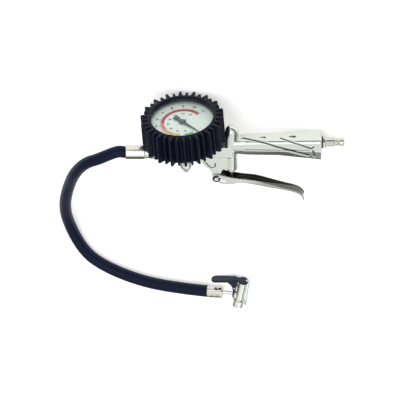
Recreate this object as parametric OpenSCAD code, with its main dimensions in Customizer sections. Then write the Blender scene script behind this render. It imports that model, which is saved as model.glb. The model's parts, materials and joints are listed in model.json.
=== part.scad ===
// Pistol tyre inflator: a die-cast grip with a trigger valve, a dial gauge in a ribbed
// rubber boot, a short rubber hose and a clip-on valve chuck.
// It lies on its side on a table. +Z is up from the table, +Y is the way the dial faces,
// +X runs back along the grip. The origin is on the table under the middle of the tool.

/* [Gauge] */
// Outside diameter of the steel gauge case
case_d = 79; // [70:1:90]
// Wall of the gauge case
case_wall = 0.9; // [0.7:0.1:1.4]
// Rubber between the case and the foot of the ribs
boot_wall = 1.4; // [1.2:0.1:3]
// Length of the boot along the gauge axis
boot_depth = 39.6; // [34:0.2:48]
// Thickness of the boot's front lip and of its back
boot_lip = 3; // [2:0.2:4]
// Radial width of the boot's lip over the rim of the case
lip_w = 2; // [1.5:0.1:4]
// Height of the tall ribs
rib_h = 9.5; // [5:0.5:12]
// Height of the short ribs
short_rib_h = 7.1; // [3:0.1:9]
// Number of tall ribs, with a short one between each pair
rib_count = 18; // [12:1:22]
// Radius of a rib's round tip
rib_tip = 1.3; // [0.8:0.1:1.8]
// Turn of the first tall rib from the table side
rib_phase = 2.5; // [-9:0.5:9]
// Thickness of the lens
lens_t = 2; // [1.5:0.1:3]
// Height of the spacer ring between dial and lens
spacer_h = 3.9; // [3:0.1:6]
// Thickness of the dial plate
dial_t = 0.6; // [0.4:0.1:1]
// Length of the pointer from its axis to its tip
pointer_l = 31; // [22:1:33]
// Angle of the pointer at zero pressure
pointer_zero = -47; // [-60:1:-30]
// Teeth on the pointer's pinion
pinion_teeth = 10; // [8:1:12]
// Teeth on the full circle of the sector gear
sector_teeth = 70; // [60:1:80]
// Gear module
gear_module = 0.4; // [0.35:0.01:0.45]

/* [Grip] */
// Droop of the grip from square to the gauge axis
grip_droop = 4.2; // [0:0.1:10]
// Distance from the gauge axis to the end of the grip
grip_end = 164.3; // [140:0.1:200]
// Half width of the grip at its end
grip_half_w = 13; // [11:0.5:16]
// Half width of the grip at its neck
neck_half_w = 10; // [9:0.5:12]
// Height of the grip's back above its axis at the end
grip_top = 15.4; // [13:0.2:18]
// Depth of the grip's belly under its axis at the end
grip_belly = 17.2; // [14:0.2:20]
// Height of the inlet's axis above the grip's axis
inlet_z = 4.6; // [0:0.2:6]

/* [Valve] */
// Distance from the gauge axis to the valve axis
valve_x = 56.6; // [56.4:0.2:60]
// Outside radius of the valve barrel
barrel_r = 7.5; // [7:0.1:9]
// Lower end of the valve barrel
barrel_bottom = -34; // [-38:0.5:-30]
// Radius of the valve stem
stem_r = 1.6; // [1.2:0.1:2]
// Running clearance on radius of stems and pins
run_gap = 0.05; // [0.02:0.01:0.09]

/* [Trigger] */
// Distance of the trigger pivot behind the gauge axis
pivot_x = 38.2; // [36:0.1:40]
// Height of the trigger pivot
pivot_z = -45.3; // [-48:0.1:-43]
// Radius of the pivot pin
pivot_r = 2.5; // [2:0.1:3]
// Outside width of the trigger channel
trigger_w = 14.6; // [13:0.2:18]
// Thickness of the trigger's sheet
trigger_t = 1.3; // [1:0.1:1.6]

/* [Hose] */
// Outside diameter of the hose
hose_d = 14.4; // [12:0.2:15]
// Distance from the gauge axis to the front ferrule
ferrule_x = 47.5; // [45:0.5:55]
// Length of the front ferrule
ferrule_l = 23.3; // [18:0.1:30]
// Height of the hose port's axis
port_z = -10.7; // [-12:0.1:-10]

/* [Chuck] */
// Radius of the chuck's collar, which lies on the table
collar_r = 8.2; // [7.9:0.1:9]
// Radius of the mouth that goes over a tyre valve
mouth_r = 4.2; // [4:0.05:4.5]
// Outside radius of the chuck body
chuck_r = 5.7; // [5.4:0.1:6]
// Length of the far ferrule
chuck_ferrule_l = 18.2; // [14:0.1:24]

/* [Hidden] */
$fn = 48;
eps = 0.01;

// Radial room between a piece and the piece it sits in
seat_gap = 0.1;
// Room between the faces of moving pieces that nearly touch
face_gap = 0.3;

// Gauge heights along its axis, from the level of the grip's axis
boot_back = 4.4;
boot_front = boot_back + boot_depth;
case_back = boot_back + boot_lip - 0.6;
case_front = boot_front - boot_lip;
case_r = case_d / 2;
case_in_r = case_r - case_wall;
boot_r = case_r + seat_gap + boot_wall;
rib_r = boot_r + rib_h;
window_r = case_r - lip_w + seat_gap;
bezel_t = 1;
lens_back = case_front - bezel_t - lens_t;
dial_face = lens_back - spacer_h;
dial_back = dial_face - dial_t;
boot_hole_r = 26;

// Round of the grip's upper edges
grip_corner = 4.5;

// The tool leans on one rib of the boot and on the end of the grip
function rest_x() = grip_end * cos(grip_droop) + (grip_top - grip_corner) * sin(grip_droop);
function tilt_for(drop) =
    asin(drop / norm([rest_x(), grip_half_w])) - atan2(grip_half_w, rest_x());
function rib_miss(a) = min([for (k = [0:rib_count - 1])
    abs(((90 + rib_phase + k * 360 / rib_count - a) % 360 + 540) % 360 - 180)]);
function rib_reach(a) = (rib_r - rib_tip) * cos(rib_miss(a)) + rib_tip;
axis_height = rib_reach(90 - tilt_for(rib_r));
rest_tilt = tilt_for(axis_height);

// Fixed sizes of the grip, the valve barrel and the head
grip_stations = [
    [58, neck_half_w - 1.5, 9.5, 9], [74, neck_half_w, 12, 10.6],
    [114, (neck_half_w + grip_half_w) / 2 - 0.5, 13.2, 11.2], [grip_end, grip_half_w, grip_top, grip_belly]
];
dome_r = 8.1;
dome_z = 21;
head_r = 11;
head_bottom = -15;
head_top = 2;
port_r = 8.6;
port_end = 41;
port_in = 10.4;
gallery_r = 2.3;
bore_r = 5;
seat_bottom = -7.2;
seat_top = -2.2;
seat_hole_r = 2.7;
poppet_r = 4.2;
poppet_t = 1.8;
rubber_t = 0.8;
spring_top = 16.5;
gland_l = 12;

// Inlet plug of the usual European quick-connect size
plug_hex_r = 8.3;
plug_hex_l = 4.6;
plug_r = 5.65;
plug_l = 10.2;
plug_groove_r = 4.3;
plug_groove_l = 2.4;
plug_tip_r = 4.85;
plug_tip_l = 9.6;
plug_bore_r = 3;
thread_r = 6.4;
thread_l = 10;
washer_t = 0.8;
washer_r = 8;

// Trigger channel seen from the side, as places along and above the grip's axis
trigger_sole = [
    [42, -53.4], [50, -54.6], [57, -54.9], [62, -53], [70, -52.6], [83, -55.3], [104, -60],
    [121, -63.6], [134, -68], [141, -73.2], [142.2, -78]
];
trigger_rim = [
    [144.4, -78], [143.6, -73.6], [139.4, -69], [133.2, -65.4], [115.4, -59.5], [102, -55],
    [86, -49.8], [68, -47.3], [42, -40]
];
stem_foot = -52.4;
trigger_arm_r = 5.4;
lug_half_w = trigger_w / 2 - trigger_t - face_gap;
clip_r = 4.7;
clip_t = 1;

// Bleed valve under the head, on the gauge axis
bonnet_top_r = 10.6;
bonnet_mid_r = 9;
bonnet_mid = -30;
bonnet_end_r = 4.9;
bonnet_end = -38.7;
spigot_r = 6;
spigot_l = 10;
bleed_chamber_r = 2.9;
bleed_hole_r = 1.5;
bleed_stem_r = 1;
button_r = 2.7;
button_guide_r = 3.6;
button_travel = 2;

// Gauge movement
socket_r = 6.4;
socket_neck_r = 7;
block_top = 18.6;
block_w = 18;
tube_mid_r = 27;
tube_w = 3;
tube_h = 9;
tube_wall = 0.4;
tube_start = 250;
tube_sweep = 250;
tube_base = 9.5;
arbor_r = 0.7;
plate_t = 1;
front_plate = 26.6;
gear_base = block_top + plate_t + 1.8;
gear_t = 1.6;
pinion_r = gear_module * pinion_teeth / 2;
sector_r = gear_module * sector_teeth / 2;
sector_x = -(pinion_r + sector_r);
sector_from = -44;
sector_to = 5;
tail_l = 6;
tail_angle = 150;
pillars = [[4.5, 5.5], [4.5, -5.5], [sector_x - 2, -6.5], [sector_x - 0.2, 6.5]];
pillar_r = 1.2;
pointer_z = dial_face + 1;
pointer_t = 0.9;
hub_r = 4.2;

// Chuck, in its own frame: y along the chuck away from its mouth, -x towards the hose
chuck_place = [-28, -234.4];
chuck_turn = -14;
tube_angle = 16;
tube_r = 2.6;
chuck_top = 18.6;
chuck_bottom = -9;
collar_bottom = -18.2;
chuck_bore_r = 3.8;
chuck_bore_top = 12;
tube_out = 22.6;
far_ferrule_r = 7.6;
lever_pivot = [-8.3, 9];
lever_pin_r = 1.1;
ear_in = 1.6;
ear_out = 3;
fork_in = ear_out + 0.2;
fork_out = 5;
head_cap_r = 6.3;
head_cap_t = 2.4;
pad_half_w = 5.5;
pad_t = 3;
claw_slot_low = -16.4;
seal_t = 2.4;

// Places of the tool on the table
shift_x = rib_reach(180 - rest_tilt) / 2 - (plug_end_x() + 1.2) / 2;
shift_y = -(boot_front + trigger_rim[0][1] - trigger_rim[0][0] * sin(grip_droop)) / 2;
function plug_end_x() = (grip_end + washer_t + plug_hex_l + plug_l + plug_groove_l + plug_tip_l)
    * cos(grip_droop) * cos(rest_tilt);

// Where a point of the grip's frame lies on the table
function droop(p) = [
    p[0] * cos(grip_droop) + p[2] * sin(grip_droop), p[1],
    p[2] * cos(grip_droop) - p[0] * sin(grip_droop)
];
function lay(p) = [
    p[0] * cos(rest_tilt) - p[1] * sin(rest_tilt) + shift_x, p[2] + shift_y,
    axis_height - p[0] * sin(rest_tilt) - p[1] * cos(rest_tilt)
];
function from_grip(p) = lay(droop(p));
function from_chuck(p) = [
    chuck_place[0] + p[0] * cos(chuck_turn) - p[1] * sin(chuck_turn),
    chuck_place[1] + p[0] * sin(chuck_turn) + p[1] * cos(chuck_turn), collar_r + p[2]
];
function along_tube(d) = from_chuck([-d * cos(tube_angle), -d * sin(tube_angle), 0]);

// The hose's route: out of its port, down to the table and round to the chuck
hose_end = ferrule_x + 2.5;
tube_stop = tube_out + 2;
hose_route = concat(
    [for (d = [0, 11, 21.5, 32]) from_grip([-hose_end - d, 0, port_z])],
    [
        [-172, 6, 71], [-186, -3, 68], [-198, -16, 63], [-209, -34, 56], [-218, -55, 47],
        [-226, -78, 38], [-232, -101, 29], [-235, -124, 20], [-234, -146, 13], [-230, -166, 9],
        [-223, -184, 7.32], [-213, -198, 7.32], [-199, -209, 7.32], [-182, -218, 7.32],
        [-164, -225, 7.32], [-146, -230, 7.32], [-128, -233, 7.4], [-110, -234.6, 7.5],
        [-92, -235.4, 7.9]
    ],
    [for (d = [tube_out + chuck_ferrule_l - 2, tube_out + 8, tube_stop]) along_tube(d)]
);

module on_tool()
    translate([shift_x, shift_y, axis_height])
        rotate([0, rest_tilt, 0])
            rotate([-90, 0, 0])
                children();

module on_grip()
    on_tool()
        rotate([0, grip_droop, 0])
            children();

module on_chuck()
    translate([chuck_place[0], chuck_place[1], collar_r])
        rotate([0, 0, chuck_turn])
            children();

module on_tube()
    on_chuck()
        rotate([0, 0, tube_angle])
            rotate([0, -90, 0])
                children();

// A plate seen from the side of the grip, half_w to each side
module side_plate(points, half_w)
    rotate([90, 0, 0])
        linear_extrude(2 * half_w, center = true)
            polygon(points);

module ring(r_out, r_in, h)
    difference() {
        cylinder(r = r_out, h = h);
        translate([0, 0, -1])
            cylinder(r = r_in, h = h + 2);
    }

// A cylinder along +X
module rod_x(r, l)
    rotate([0, 90, 0])
        cylinder(r = r, h = l);

function arc(c, r, a0, a1, n) = [for (i = [0:n])
    [c[0] + r * cos(a0 + (a1 - a0) * i / n), c[1] + r * sin(a0 + (a1 - a0) * i / n)]];

// Faces of a tube of rings with side_n points each, with closed ends
function tube_faces(ring_n, side_n) = concat(
    [[for (j = [0:side_n - 1]) side_n - 1 - j]],
    [for (i = [0:ring_n - 2]) for (j = [0:side_n - 1])
        [i * side_n + j, i * side_n + (j + 1) % side_n,
         (i + 1) * side_n + (j + 1) % side_n, (i + 1) * side_n + j]],
    [[for (j = [0:side_n - 1]) (ring_n - 1) * side_n + j]]
);

// A round coil spring of wire swept along a helix about Z
module coil_spring(r, wire_r, turns, h, per_turn = 12, sides = 6) {
    n = turns * per_turn;
    points = [for (i = [0:n]) for (j = [0:sides - 1])
        let (a = 360 * i / per_turn, b = 360 * j / sides, rr = r + wire_r * cos(b))
            [rr * cos(a), rr * sin(a), wire_r + (h - 2 * wire_r) * i / n + wire_r * sin(b)]];
    polyhedron(points, tube_faces(n + 1, sides));
}

/* Body */

module grip_section(s) {
    corner = grip_corner;
    belly = 4;
    translate([s[0] - 0.5, 0, 0]) {
        for (side = [-1, 1])
            translate([0, side * (s[1] - corner), s[2] - corner])
                rod_x(corner, 0.5, $fn = 32);
        for (side = [-1, 1])
            translate([0, side * (s[1] - belly), 0])
                rod_x(belly, 0.5, $fn = 32);
        for (side = [-1, 1])
            translate([0, side * (s[1] / 2 - 1), belly - s[3]])
                rod_x(belly, 0.5, $fn = 32);
    }
}

module grip_shell()
    for (i = [0:len(grip_stations) - 2])
        hull() {
            grip_section(grip_stations[i]);
            grip_section(grip_stations[i + 1]);
        }

module trigger_lug()
    difference() {
        union() {
            side_plate(concat(
                [[18, -10], [20, -22]],
                arc([pivot_x - 22, pivot_z + 2], 17, 60, 5, 6),
                [[pivot_x + 5, pivot_z + 5], [pivot_x + 8, barrel_bottom + 1],
                 [valve_x, barrel_bottom + 1], [valve_x, -10]]), lug_half_w);
            translate([pivot_x, 0, pivot_z])
                rotate([90, 0, 0])
                    cylinder(r = trigger_arm_r, h = 2 * lug_half_w, center = true);
        }
        translate([pivot_x, 0, pivot_z])
            rotate([90, 0, 0])
                cylinder(r = pivot_r + seat_gap / 2, h = 40, center = true);
    }

module head_block()
    rotate([0, -grip_droop, 0]) {
        translate([0, 0, head_bottom])
            cylinder(r = head_r, h = head_top - head_bottom);
        translate([0, 0, head_bottom - spigot_l])
            cylinder(r = spigot_r, h = spigot_l + 1);
    }

module air_ways() {
    // inlet thread and the way forward to the valve
    translate([grip_end - thread_l - 4, 0, inlet_z])
        rod_x(thread_r + seat_gap, thread_l + 5);
    translate([valve_x, 0, inlet_z])
        rod_x(3.4, grip_end - valve_x);
    // valve barrel
    translate([valve_x, 0, barrel_bottom - 1])
        cylinder(r = bore_r, h = spring_top - barrel_bottom + 1);
    // gallery past the gauge to the hose port
    translate([-port_end - 1, 0, port_z])
        rod_x(gallery_r, port_end + valve_x);
    translate([-port_end - 1, 0, port_z])
        rod_x(thread_r + seat_gap, 12);
    rotate([0, -grip_droop, 0]) {
        translate([0, 0, -6.4])
            cylinder(r = socket_r + seat_gap, h = 20);
        translate([0, 0, head_bottom - 1])
            cylinder(r = bleed_chamber_r, h = 10);
        translate([0, 0, head_bottom - spigot_l - 1])
            cylinder(r = bleed_hole_r, h = spigot_l + 2);
    }
}

module body_casting()
    color("gainsboro")
        on_grip()
            difference() {
                union() {
                    grip_shell();
                    // barrel, its dome and the web to the head
                    translate([valve_x, 0, barrel_bottom])
                        cylinder(r = barrel_r, h = dome_z - barrel_bottom);
                    translate([valve_x, 0, -6])
                        cylinder(r = dome_r, h = dome_z + 6);
                    translate([valve_x, 0, dome_z])
                        sphere(r = dome_r);
                    translate([0, -8, head_bottom + 1])
                        cube([valve_x, 16, 15]);
                    trigger_lug();
                    head_block();
                    translate([-port_end, 0, port_z])
                        rod_x(port_r, port_end - port_in);
                    translate([-port_in - 4, -port_r, head_bottom + 1.5])
                        cube([port_in + 4, 2 * port_r, 11]);
                }
                air_ways();
            }

module inlet_plug()
    color("silver")
        on_grip()
            translate([grip_end + washer_t, 0, inlet_z])
                difference() {
                    union() {
                        translate([-thread_l, 0, 0])
                            rod_x(thread_r, thread_l);
                        rotate([0, 90, 0])
                            cylinder(r = plug_hex_r, h = plug_hex_l, $fn = 6);
                        rod_x(plug_r, plug_hex_l + plug_l);
                        rod_x(plug_groove_r, plug_hex_l + plug_l + plug_groove_l);
                        translate([plug_hex_l + plug_l + plug_groove_l, 0, 0])
                            rotate([0, 90, 0])
                                rotate_extrude()
                                    polygon([[0, -1], [plug_tip_r, -eps], [plug_tip_r, 1.2],
                                        [plug_tip_r - 0.9, 2.2], [plug_tip_r - 0.9, 3.4],
                                        [plug_tip_r, 4.4], [plug_tip_r, plug_tip_l - 1],
                                        [plug_tip_r - 1, plug_tip_l], [0, plug_tip_l]]);
                    }
                    translate([-thread_l - 1, 0, 0])
                        rod_x(plug_bore_r, 60);
                }

module inlet_washer()
    color("sienna")
        on_grip()
            translate([grip_end, 0, inlet_z])
                rotate([0, 90, 0])
                    ring(washer_r, thread_r + seat_gap, washer_t);

module inlet_filter()
    color("peru")
        on_grip()
            translate([grip_end - thread_l - 3.8, 0, inlet_z])
                rotate([0, 90, 0])
                    ring(thread_r - 0.6, 2.4, 3.6 + washer_t);

/* Trigger valve, about the barrel's axis */

module valve_seat()
    color("goldenrod")
        on_grip()
            translate([valve_x, 0, seat_bottom])
                difference() {
                    cylinder(r = bore_r - seat_gap / 2, h = seat_top - seat_bottom);
                    translate([0, 0, -1])
                        cylinder(r = seat_hole_r, h = seat_top - seat_bottom + 2);
                }

module valve_stem()
    color("silver")
        on_grip()
            translate([valve_x, 0, 0]) {
                translate([0, 0, stem_foot])
                    cylinder(r = stem_r, h = seat_top + rubber_t + poppet_t + 4 - stem_foot);
                translate([0, 0, seat_top + rubber_t])
                    cylinder(r = poppet_r, h = poppet_t);
            }

module valve_rubber()
    color("dimgray")
        on_grip()
            translate([valve_x, 0, seat_top])
                ring(poppet_r, stem_r, rubber_t);

module valve_spring()
    color("lightsteelblue")
        on_grip()
            translate([valve_x, 0, seat_top + rubber_t + poppet_t])
                coil_spring(3.2, 0.45, 5, spring_top - seat_top - rubber_t - poppet_t);

module gland_nut()
    color("goldenrod")
        on_grip()
            translate([valve_x, 0, barrel_bottom])
                difference() {
                    union() {
                        cylinder(r = bore_r - seat_gap / 2, h = gland_l);
                        translate([0, 0, -3])
                            cylinder(r = 5.6, h = 3, $fn = 6);
                    }
                    translate([0, 0, -4])
                        cylinder(r = stem_r + run_gap, h = gland_l + 8);
                }

module stem_seal()
    color("dimgray")
        on_grip()
            translate([valve_x, 0, barrel_bottom + gland_l])
                ring(bore_r - seat_gap, stem_r + run_gap, 1.8);

/* Trigger */

module trigger_lever()
    color("lightgray")
        on_grip()
            difference() {
                union() {
                    side_plate(concat(trigger_sole, trigger_rim), trigger_w / 2);
                    translate([pivot_x, 0, pivot_z])
                        rotate([90, 0, 0])
                            cylinder(r = trigger_arm_r, h = trigger_w, center = true);
                    side_plate([[pivot_x, pivot_z + trigger_arm_r], [42, -40], [42, -53.4],
                        [pivot_x, pivot_z - trigger_arm_r]], trigger_w / 2);
                }
                side_plate(concat(
                    [[pivot_x - 9, pivot_z - 9], [pivot_x + 4, pivot_z - 9],
                     [pivot_x + 8, -53.2 + trigger_t]],
                    [for (i = [2:len(trigger_sole) - 2])
                        trigger_sole[i] + [trigger_t / 3, trigger_t]],
                    [[145, -66], [115.4, -50], [68, -40], [pivot_x, -30],
                     [pivot_x - 9, -30]]), trigger_w / 2 - trigger_t);
                translate([pivot_x, 0, pivot_z])
                    rotate([90, 0, 0])
                        cylinder(r = pivot_r + run_gap, h = 40, center = true);
            }

module pivot_pin()
    color("silver")
        on_grip()
            translate([pivot_x, 0, pivot_z])
                rotate([90, 0, 0])
                    cylinder(r = pivot_r, h = trigger_w + 4 * clip_t, center = true);

module pivot_clip()
    color("dimgray")
        on_grip()
            for (side = [-1, 1])
                translate([pivot_x, side * (trigger_w / 2 + face_gap + clip_t / 2), pivot_z])
                    rotate([90, 0, 0])
                        difference() {
                            cylinder(r = clip_r, h = clip_t, center = true);
                            cylinder(r = pivot_r + seat_gap, h = 3, center = true);
                            rotate([0, 0, 35])
                                translate([0, -1.4, -2])
                                    cube([8, 2.8, 4]);
                        }

/* Bleed valve */

module bleed_bonnet()
    color("silver")
        on_tool()
            difference() {
                rotate_extrude()
                    polygon([[0, bonnet_end], [bonnet_end_r, bonnet_end],
                        [bonnet_mid_r, bonnet_mid], [bonnet_top_r, head_bottom - 1.5],
                        [bonnet_top_r, head_bottom - eps], [0, head_bottom - eps]]);
                translate([0, 0, head_bottom - spigot_l - seat_gap])
                    cylinder(r = spigot_r + seat_gap, h = spigot_l + 2);
                translate([0, 0, head_bottom - spigot_l - 6])
                    cylinder(r = button_guide_r + run_gap, h = 8);
                translate([0, 0, bonnet_end - 1])
                    cylinder(r = button_r + run_gap, h = 20);
            }

module bleed_button()
    color("gray")
        on_tool() {
            translate([0, 0, bonnet_end - 1])
                cylinder(r = button_r, h = head_bottom - spigot_l - 5.9 - bonnet_end + 1);
            translate([0, 0, head_bottom - spigot_l - 5.9])
                cylinder(r = button_guide_r, h = 5.9 - button_travel - face_gap);
            translate([0, 0, head_bottom - spigot_l - 5.9])
                cylinder(r = bleed_stem_r, h = spigot_l + 8.4);
        }

module bleed_rubber()
    color("dimgray")
        on_tool()
            translate([0, 0, head_bottom + 1])
                ring(bleed_chamber_r - 0.4, bleed_stem_r, 1.4);

module bleed_spring()
    color("lightsteelblue")
        on_tool()
            translate([0, 0, head_bottom + 2.4])
                coil_spring(1.9, 0.3, 4, 5.2);

/* Gauge */

module gauge_socket()
    color("goldenrod")
        on_tool()
            difference() {
                union() {
                    translate([0, 0, -6.4])
                        cylinder(r = socket_r, h = 8.4 + eps);
                    translate([0, 0, head_top])
                        cylinder(r = 9.6, h = case_back - head_top, $fn = 6);
                    translate([0, 0, head_top])
                        cylinder(r = socket_neck_r, h = case_back + case_wall - head_top);
                    translate([-block_w / 2, -8, case_back + case_wall])
                        cube([block_w, 16, block_top - case_back - case_wall]);
                    // arm that holds the root of the tube
                    rotate([0, 0, tube_start])
                        translate([0, -6, tube_base])
                            cube([tube_mid_r + tube_w / 2 + 1, 6, tube_h]);
                }
                translate([0, 0, -8])
                    cylinder(r = 1.6, h = 20);
            }

module gauge_case()
    color("dimgray")
        on_tool()
            difference() {
                translate([0, 0, case_back])
                    cylinder(r = case_r, h = case_front - case_back);
                translate([0, 0, case_back + case_wall])
                    cylinder(r = case_in_r, h = boot_depth);
                translate([0, 0, case_back - 1])
                    cylinder(r = socket_neck_r + seat_gap / 2, h = 4);
                for (side = [-1, 1])
                    translate([0, side * 6.2, case_back - 1])
                        cylinder(r = 1.3, h = 4);
            }

module case_screws()
    color("silver")
        on_tool()
            for (side = [-1, 1])
                translate([side * 11.2, 0, case_back - 1.4]) {
                    cylinder(r = 1.5, h = 1.4);
                }

module bourdon_tube()
    color("darkgoldenrod")
        on_tool()
            rotate([0, 0, tube_start])
                rotate_extrude(angle = tube_sweep)
                    translate([tube_mid_r - tube_w / 2, tube_base])
                        difference() {
                            square([tube_w, tube_h]);
                            translate([tube_wall, tube_wall])
                                square([tube_w - 2 * tube_wall, tube_h - 2 * tube_wall]);
                        }

module tube_tip()
    color("goldenrod")
        on_tool() {
                rotate([0, 0, tube_start + tube_sweep])
                    translate([tube_mid_r - tube_w / 2, 0, tube_base])
                        cube([tube_w, 4, tube_h]);
                rotate([0, 0, tube_start + tube_sweep])
                    translate([tube_mid_r - tube_w / 2 - 4.2, 0, tube_base + tube_h - eps])
                        cube([tube_w + 4.2, 4, 2]);
                translate([tip_place[0], tip_place[1], tube_base + tube_h])
                    cylinder(r = link_pin_r, h = link_z + link_t + 0.4 - tube_base - tube_h);
            }

// Ends of the link in the plane of the movement
tip_place = (tube_mid_r - tube_w / 2 - 3) * [cos(tube_start + tube_sweep + 4),
    sin(tube_start + tube_sweep + 4)];
tail_place = [sector_x + tail_l * cos(tail_angle), tail_l * sin(tail_angle)];

link_z = front_plate - 2.4;
link_t = 0.6;
link_pin_r = 0.6;
link_slot = 4.6;
link_play = 0.35;
link_half_w = 1.6;

module link_bar()
    color("goldenrod")
        on_tool() {
            span = tip_place - tail_place;
            translate([tail_place[0], tail_place[1], link_z])
                rotate([0, 0, atan2(span[1], span[0])])
                    difference() {
                        union() {
                            translate([0, -link_half_w, 0])
                                cube([norm(span) + link_slot, 2 * link_half_w, link_t]);
                            cylinder(r = link_half_w, h = link_t);
                            translate([norm(span) + link_slot, 0, 0])
                                cylinder(r = link_half_w, h = link_t);
                        }
                        translate([0, 0, -1])
                            cylinder(r = link_pin_r + run_gap, h = 3);
                        // slot for the tip's pin
                        for (d = [0, link_slot])
                            translate([norm(span) + d, 0, -1])
                                cylinder(r = link_pin_r + link_play, h = 3);
                        translate([norm(span), -link_pin_r - link_play, -1])
                            cube([link_slot, 2 * (link_pin_r + link_play), 3]);
                    }
        }

module movement_frame()
    color("goldenrod")
        on_tool()
            difference() {
                union() {
                    for (z = [block_top, front_plate])
                        translate([sector_x - 4.5, -8, z])
                            cube([12 - sector_x, 16, plate_t]);
                    for (p = pillars)
                        translate([p[0], p[1], block_top])
                            cylinder(r = pillar_r, h = front_plate - block_top + eps);
                    for (p = [pillars[0], pillars[1]])
                        translate([p[0], p[1], front_plate])
                            cylinder(r = pillar_r, h = dial_back - front_plate);
                }
                translate([0, 0, block_top - 1])
                    cylinder(r = arbor_r + run_gap, h = 20);
                translate([sector_x, 0, block_top - 1])
                    cylinder(r = arbor_r + run_gap, h = 20);
            }

// One straight-sided gear tooth that points along +X from the centre
module tooth(pitch_r)
    polygon([[pitch_r - 0.7, -0.36], [pitch_r, -0.25], [pitch_r + 0.28, -0.14],
        [pitch_r + 0.28, 0.14], [pitch_r, 0.25], [pitch_r - 0.7, 0.36]]);

module sector_gear()
    color("gold")
        on_tool()
            translate([sector_x, 0, gear_base]) {
                linear_extrude(gear_t) {
                    pitch = 360 / sector_teeth;
                    polygon(concat([[0, 0]],
                        arc([0, 0], sector_r - 0.5, sector_from, sector_to, 16)));
                    for (k = [ceil(sector_from / pitch):floor(sector_to / pitch) - 1])
                        rotate((k + 0.5) * pitch)
                            tooth(sector_r);
                    circle(r = 2.2);
                    rotate(tail_angle)
                        translate([0, -1])
                            square([tail_l, 2]);
                    translate(tail_l * [cos(tail_angle), sin(tail_angle)])
                        circle(r = 1.5);
                }
                translate([tail_l * cos(tail_angle), tail_l * sin(tail_angle), 0])
                    cylinder(r = link_pin_r, h = link_z + link_t + 0.4 - gear_base);
                translate([0, 0, block_top - gear_base + 0.2])
                    cylinder(r = arbor_r, h = front_plate - block_top + 0.6);
            }

module pinion()
    color("silver")
        on_tool() {
            translate([0, 0, block_top + 0.2])
                cylinder(r = arbor_r, h = pointer_z - block_top - 0.2);
            translate([0, 0, gear_base - 0.6])
                linear_extrude(gear_t + 1.2) {
                    circle(r = pinion_r - 0.45);
                    for (k = [0:pinion_teeth - 1])
                        rotate(180 + k * 360 / pinion_teeth)
                            tooth(pinion_r);
                }
        }

module hairspring()
    color("darkgoldenrod")
        on_tool()
            translate([0, 0, gear_base + gear_t + 1.4])
                linear_extrude(0.7) {
                    n = 72;
                    turn = [for (i = [0:n]) let (a = 20 * i, r = 1 + 3 * i / n)
                        [r * cos(a), r * sin(a)]];
                    back = [for (i = [n:-1:0]) let (a = 20 * i, r = 0.75 + 3 * i / n)
                        [r * cos(a), r * sin(a)]];
                    polygon(concat(turn, back));
                }

module dial_plate()
    color("honeydew")
        on_tool()
            translate([0, 0, dial_back])
                ring(case_in_r - seat_gap, 2, dial_t);

module dial_screws()
    color("silver")
        on_tool()
            for (p = [pillars[0], pillars[1]])
                translate([p[0], p[1], dial_face])
                    cylinder(r = 1, h = 0.4);

module zero_stop()
    color("silver")
        on_tool()
            rotate([0, 0, pointer_zero + 5])
                translate([pointer_l * 0.6, 0, dial_face])
                    cylinder(r = 0.5, h = 1.8);

module pointer()
    color("darkslategray")
        on_tool()
            rotate([0, 0, pointer_zero])
                translate([0, 0, pointer_z]) {
                    linear_extrude(pointer_t)
                        polygon([[-14, -2.6], [-12.6, -3.4], [-4, -2.2], [4, -1.5],
                            [pointer_l - 1, -0.35], [pointer_l, 0], [pointer_l - 1, 0.35],
                            [4, 1.5], [-4, 2.2], [-12.6, 3.4], [-14, 2.6]]);
                    cylinder(r = hub_r, h = pointer_t + 0.4);
                }

module spacer_ring()
    color("darkgray")
        on_tool()
            translate([0, 0, dial_face])
                ring(case_in_r - seat_gap, case_in_r - 1, spacer_h);

module lens()
    color("aliceblue", 0.4)
        on_tool()
            translate([0, 0, lens_back])
                cylinder(r = case_in_r - seat_gap, h = lens_t);

module bezel_ring()
    color("dimgray")
        on_tool()
            translate([0, 0, case_front - bezel_t])
                ring(case_in_r - seat_gap, window_r, bezel_t);

module rib(h, root_w)
    polygon(concat([[boot_r - 1, -root_w / 2]],
        arc([boot_r + h - rib_tip, 0], rib_tip, -80, 80, 6),
        [[boot_r - 1, root_w / 2]]));

module rubber_boot()
    color("midnightblue")
        on_tool()
            translate([0, 0, boot_back])
                difference() {
                    linear_extrude(boot_depth) {
                        circle(r = boot_r);
                        for (k = [0:rib_count - 1])
                            rotate(90 + rib_phase + k * 360 / rib_count)
                                rib(rib_h, 5.4);
                        for (k = [0:rib_count - 1])
                            rotate(90 + rib_phase + (k + 0.5) * 360 / rib_count)
                                rib(short_rib_h, 4);
                    }
                    translate([0, 0, case_back - boot_back])
                        cylinder(r = case_r + seat_gap, h = case_front - case_back);
                    translate([0, 0, boot_depth / 2])
                        cylinder(r = window_r, h = boot_depth);
                    translate([0, 0, -1])
                        cylinder(r = boot_hole_r, h = boot_depth / 2);
                }

/* Hose */

module hose_tail()
    color("silver")
        on_grip()
            translate([-hose_end, 0, port_z])
                difference() {
                    union() {
                        rod_x(5.5, hose_end - port_end + 9);
                        translate([hose_end - ferrule_x, 0, 0])
                            rod_x(8, ferrule_x - port_end);
                        translate([hose_end - port_end, 0, 0])
                            rod_x(thread_r, 9);
                    }
                    translate([-1, 0, 0])
                        rod_x(2.2, 40);
                }

module front_ferrule()
    color("antiquewhite")
        on_grip()
            translate([-ferrule_x - ferrule_l, 0, port_z])
                rotate([0, 90, 0])
                    rotate([0, 0, 6])
                        difference() {
                            cylinder(r = 9.1, h = ferrule_l, $fn = 8);
                            translate([0, 0, -1])
                                cylinder(r = hose_d / 2 + seat_gap, h = ferrule_l + 2);
                        }

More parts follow.
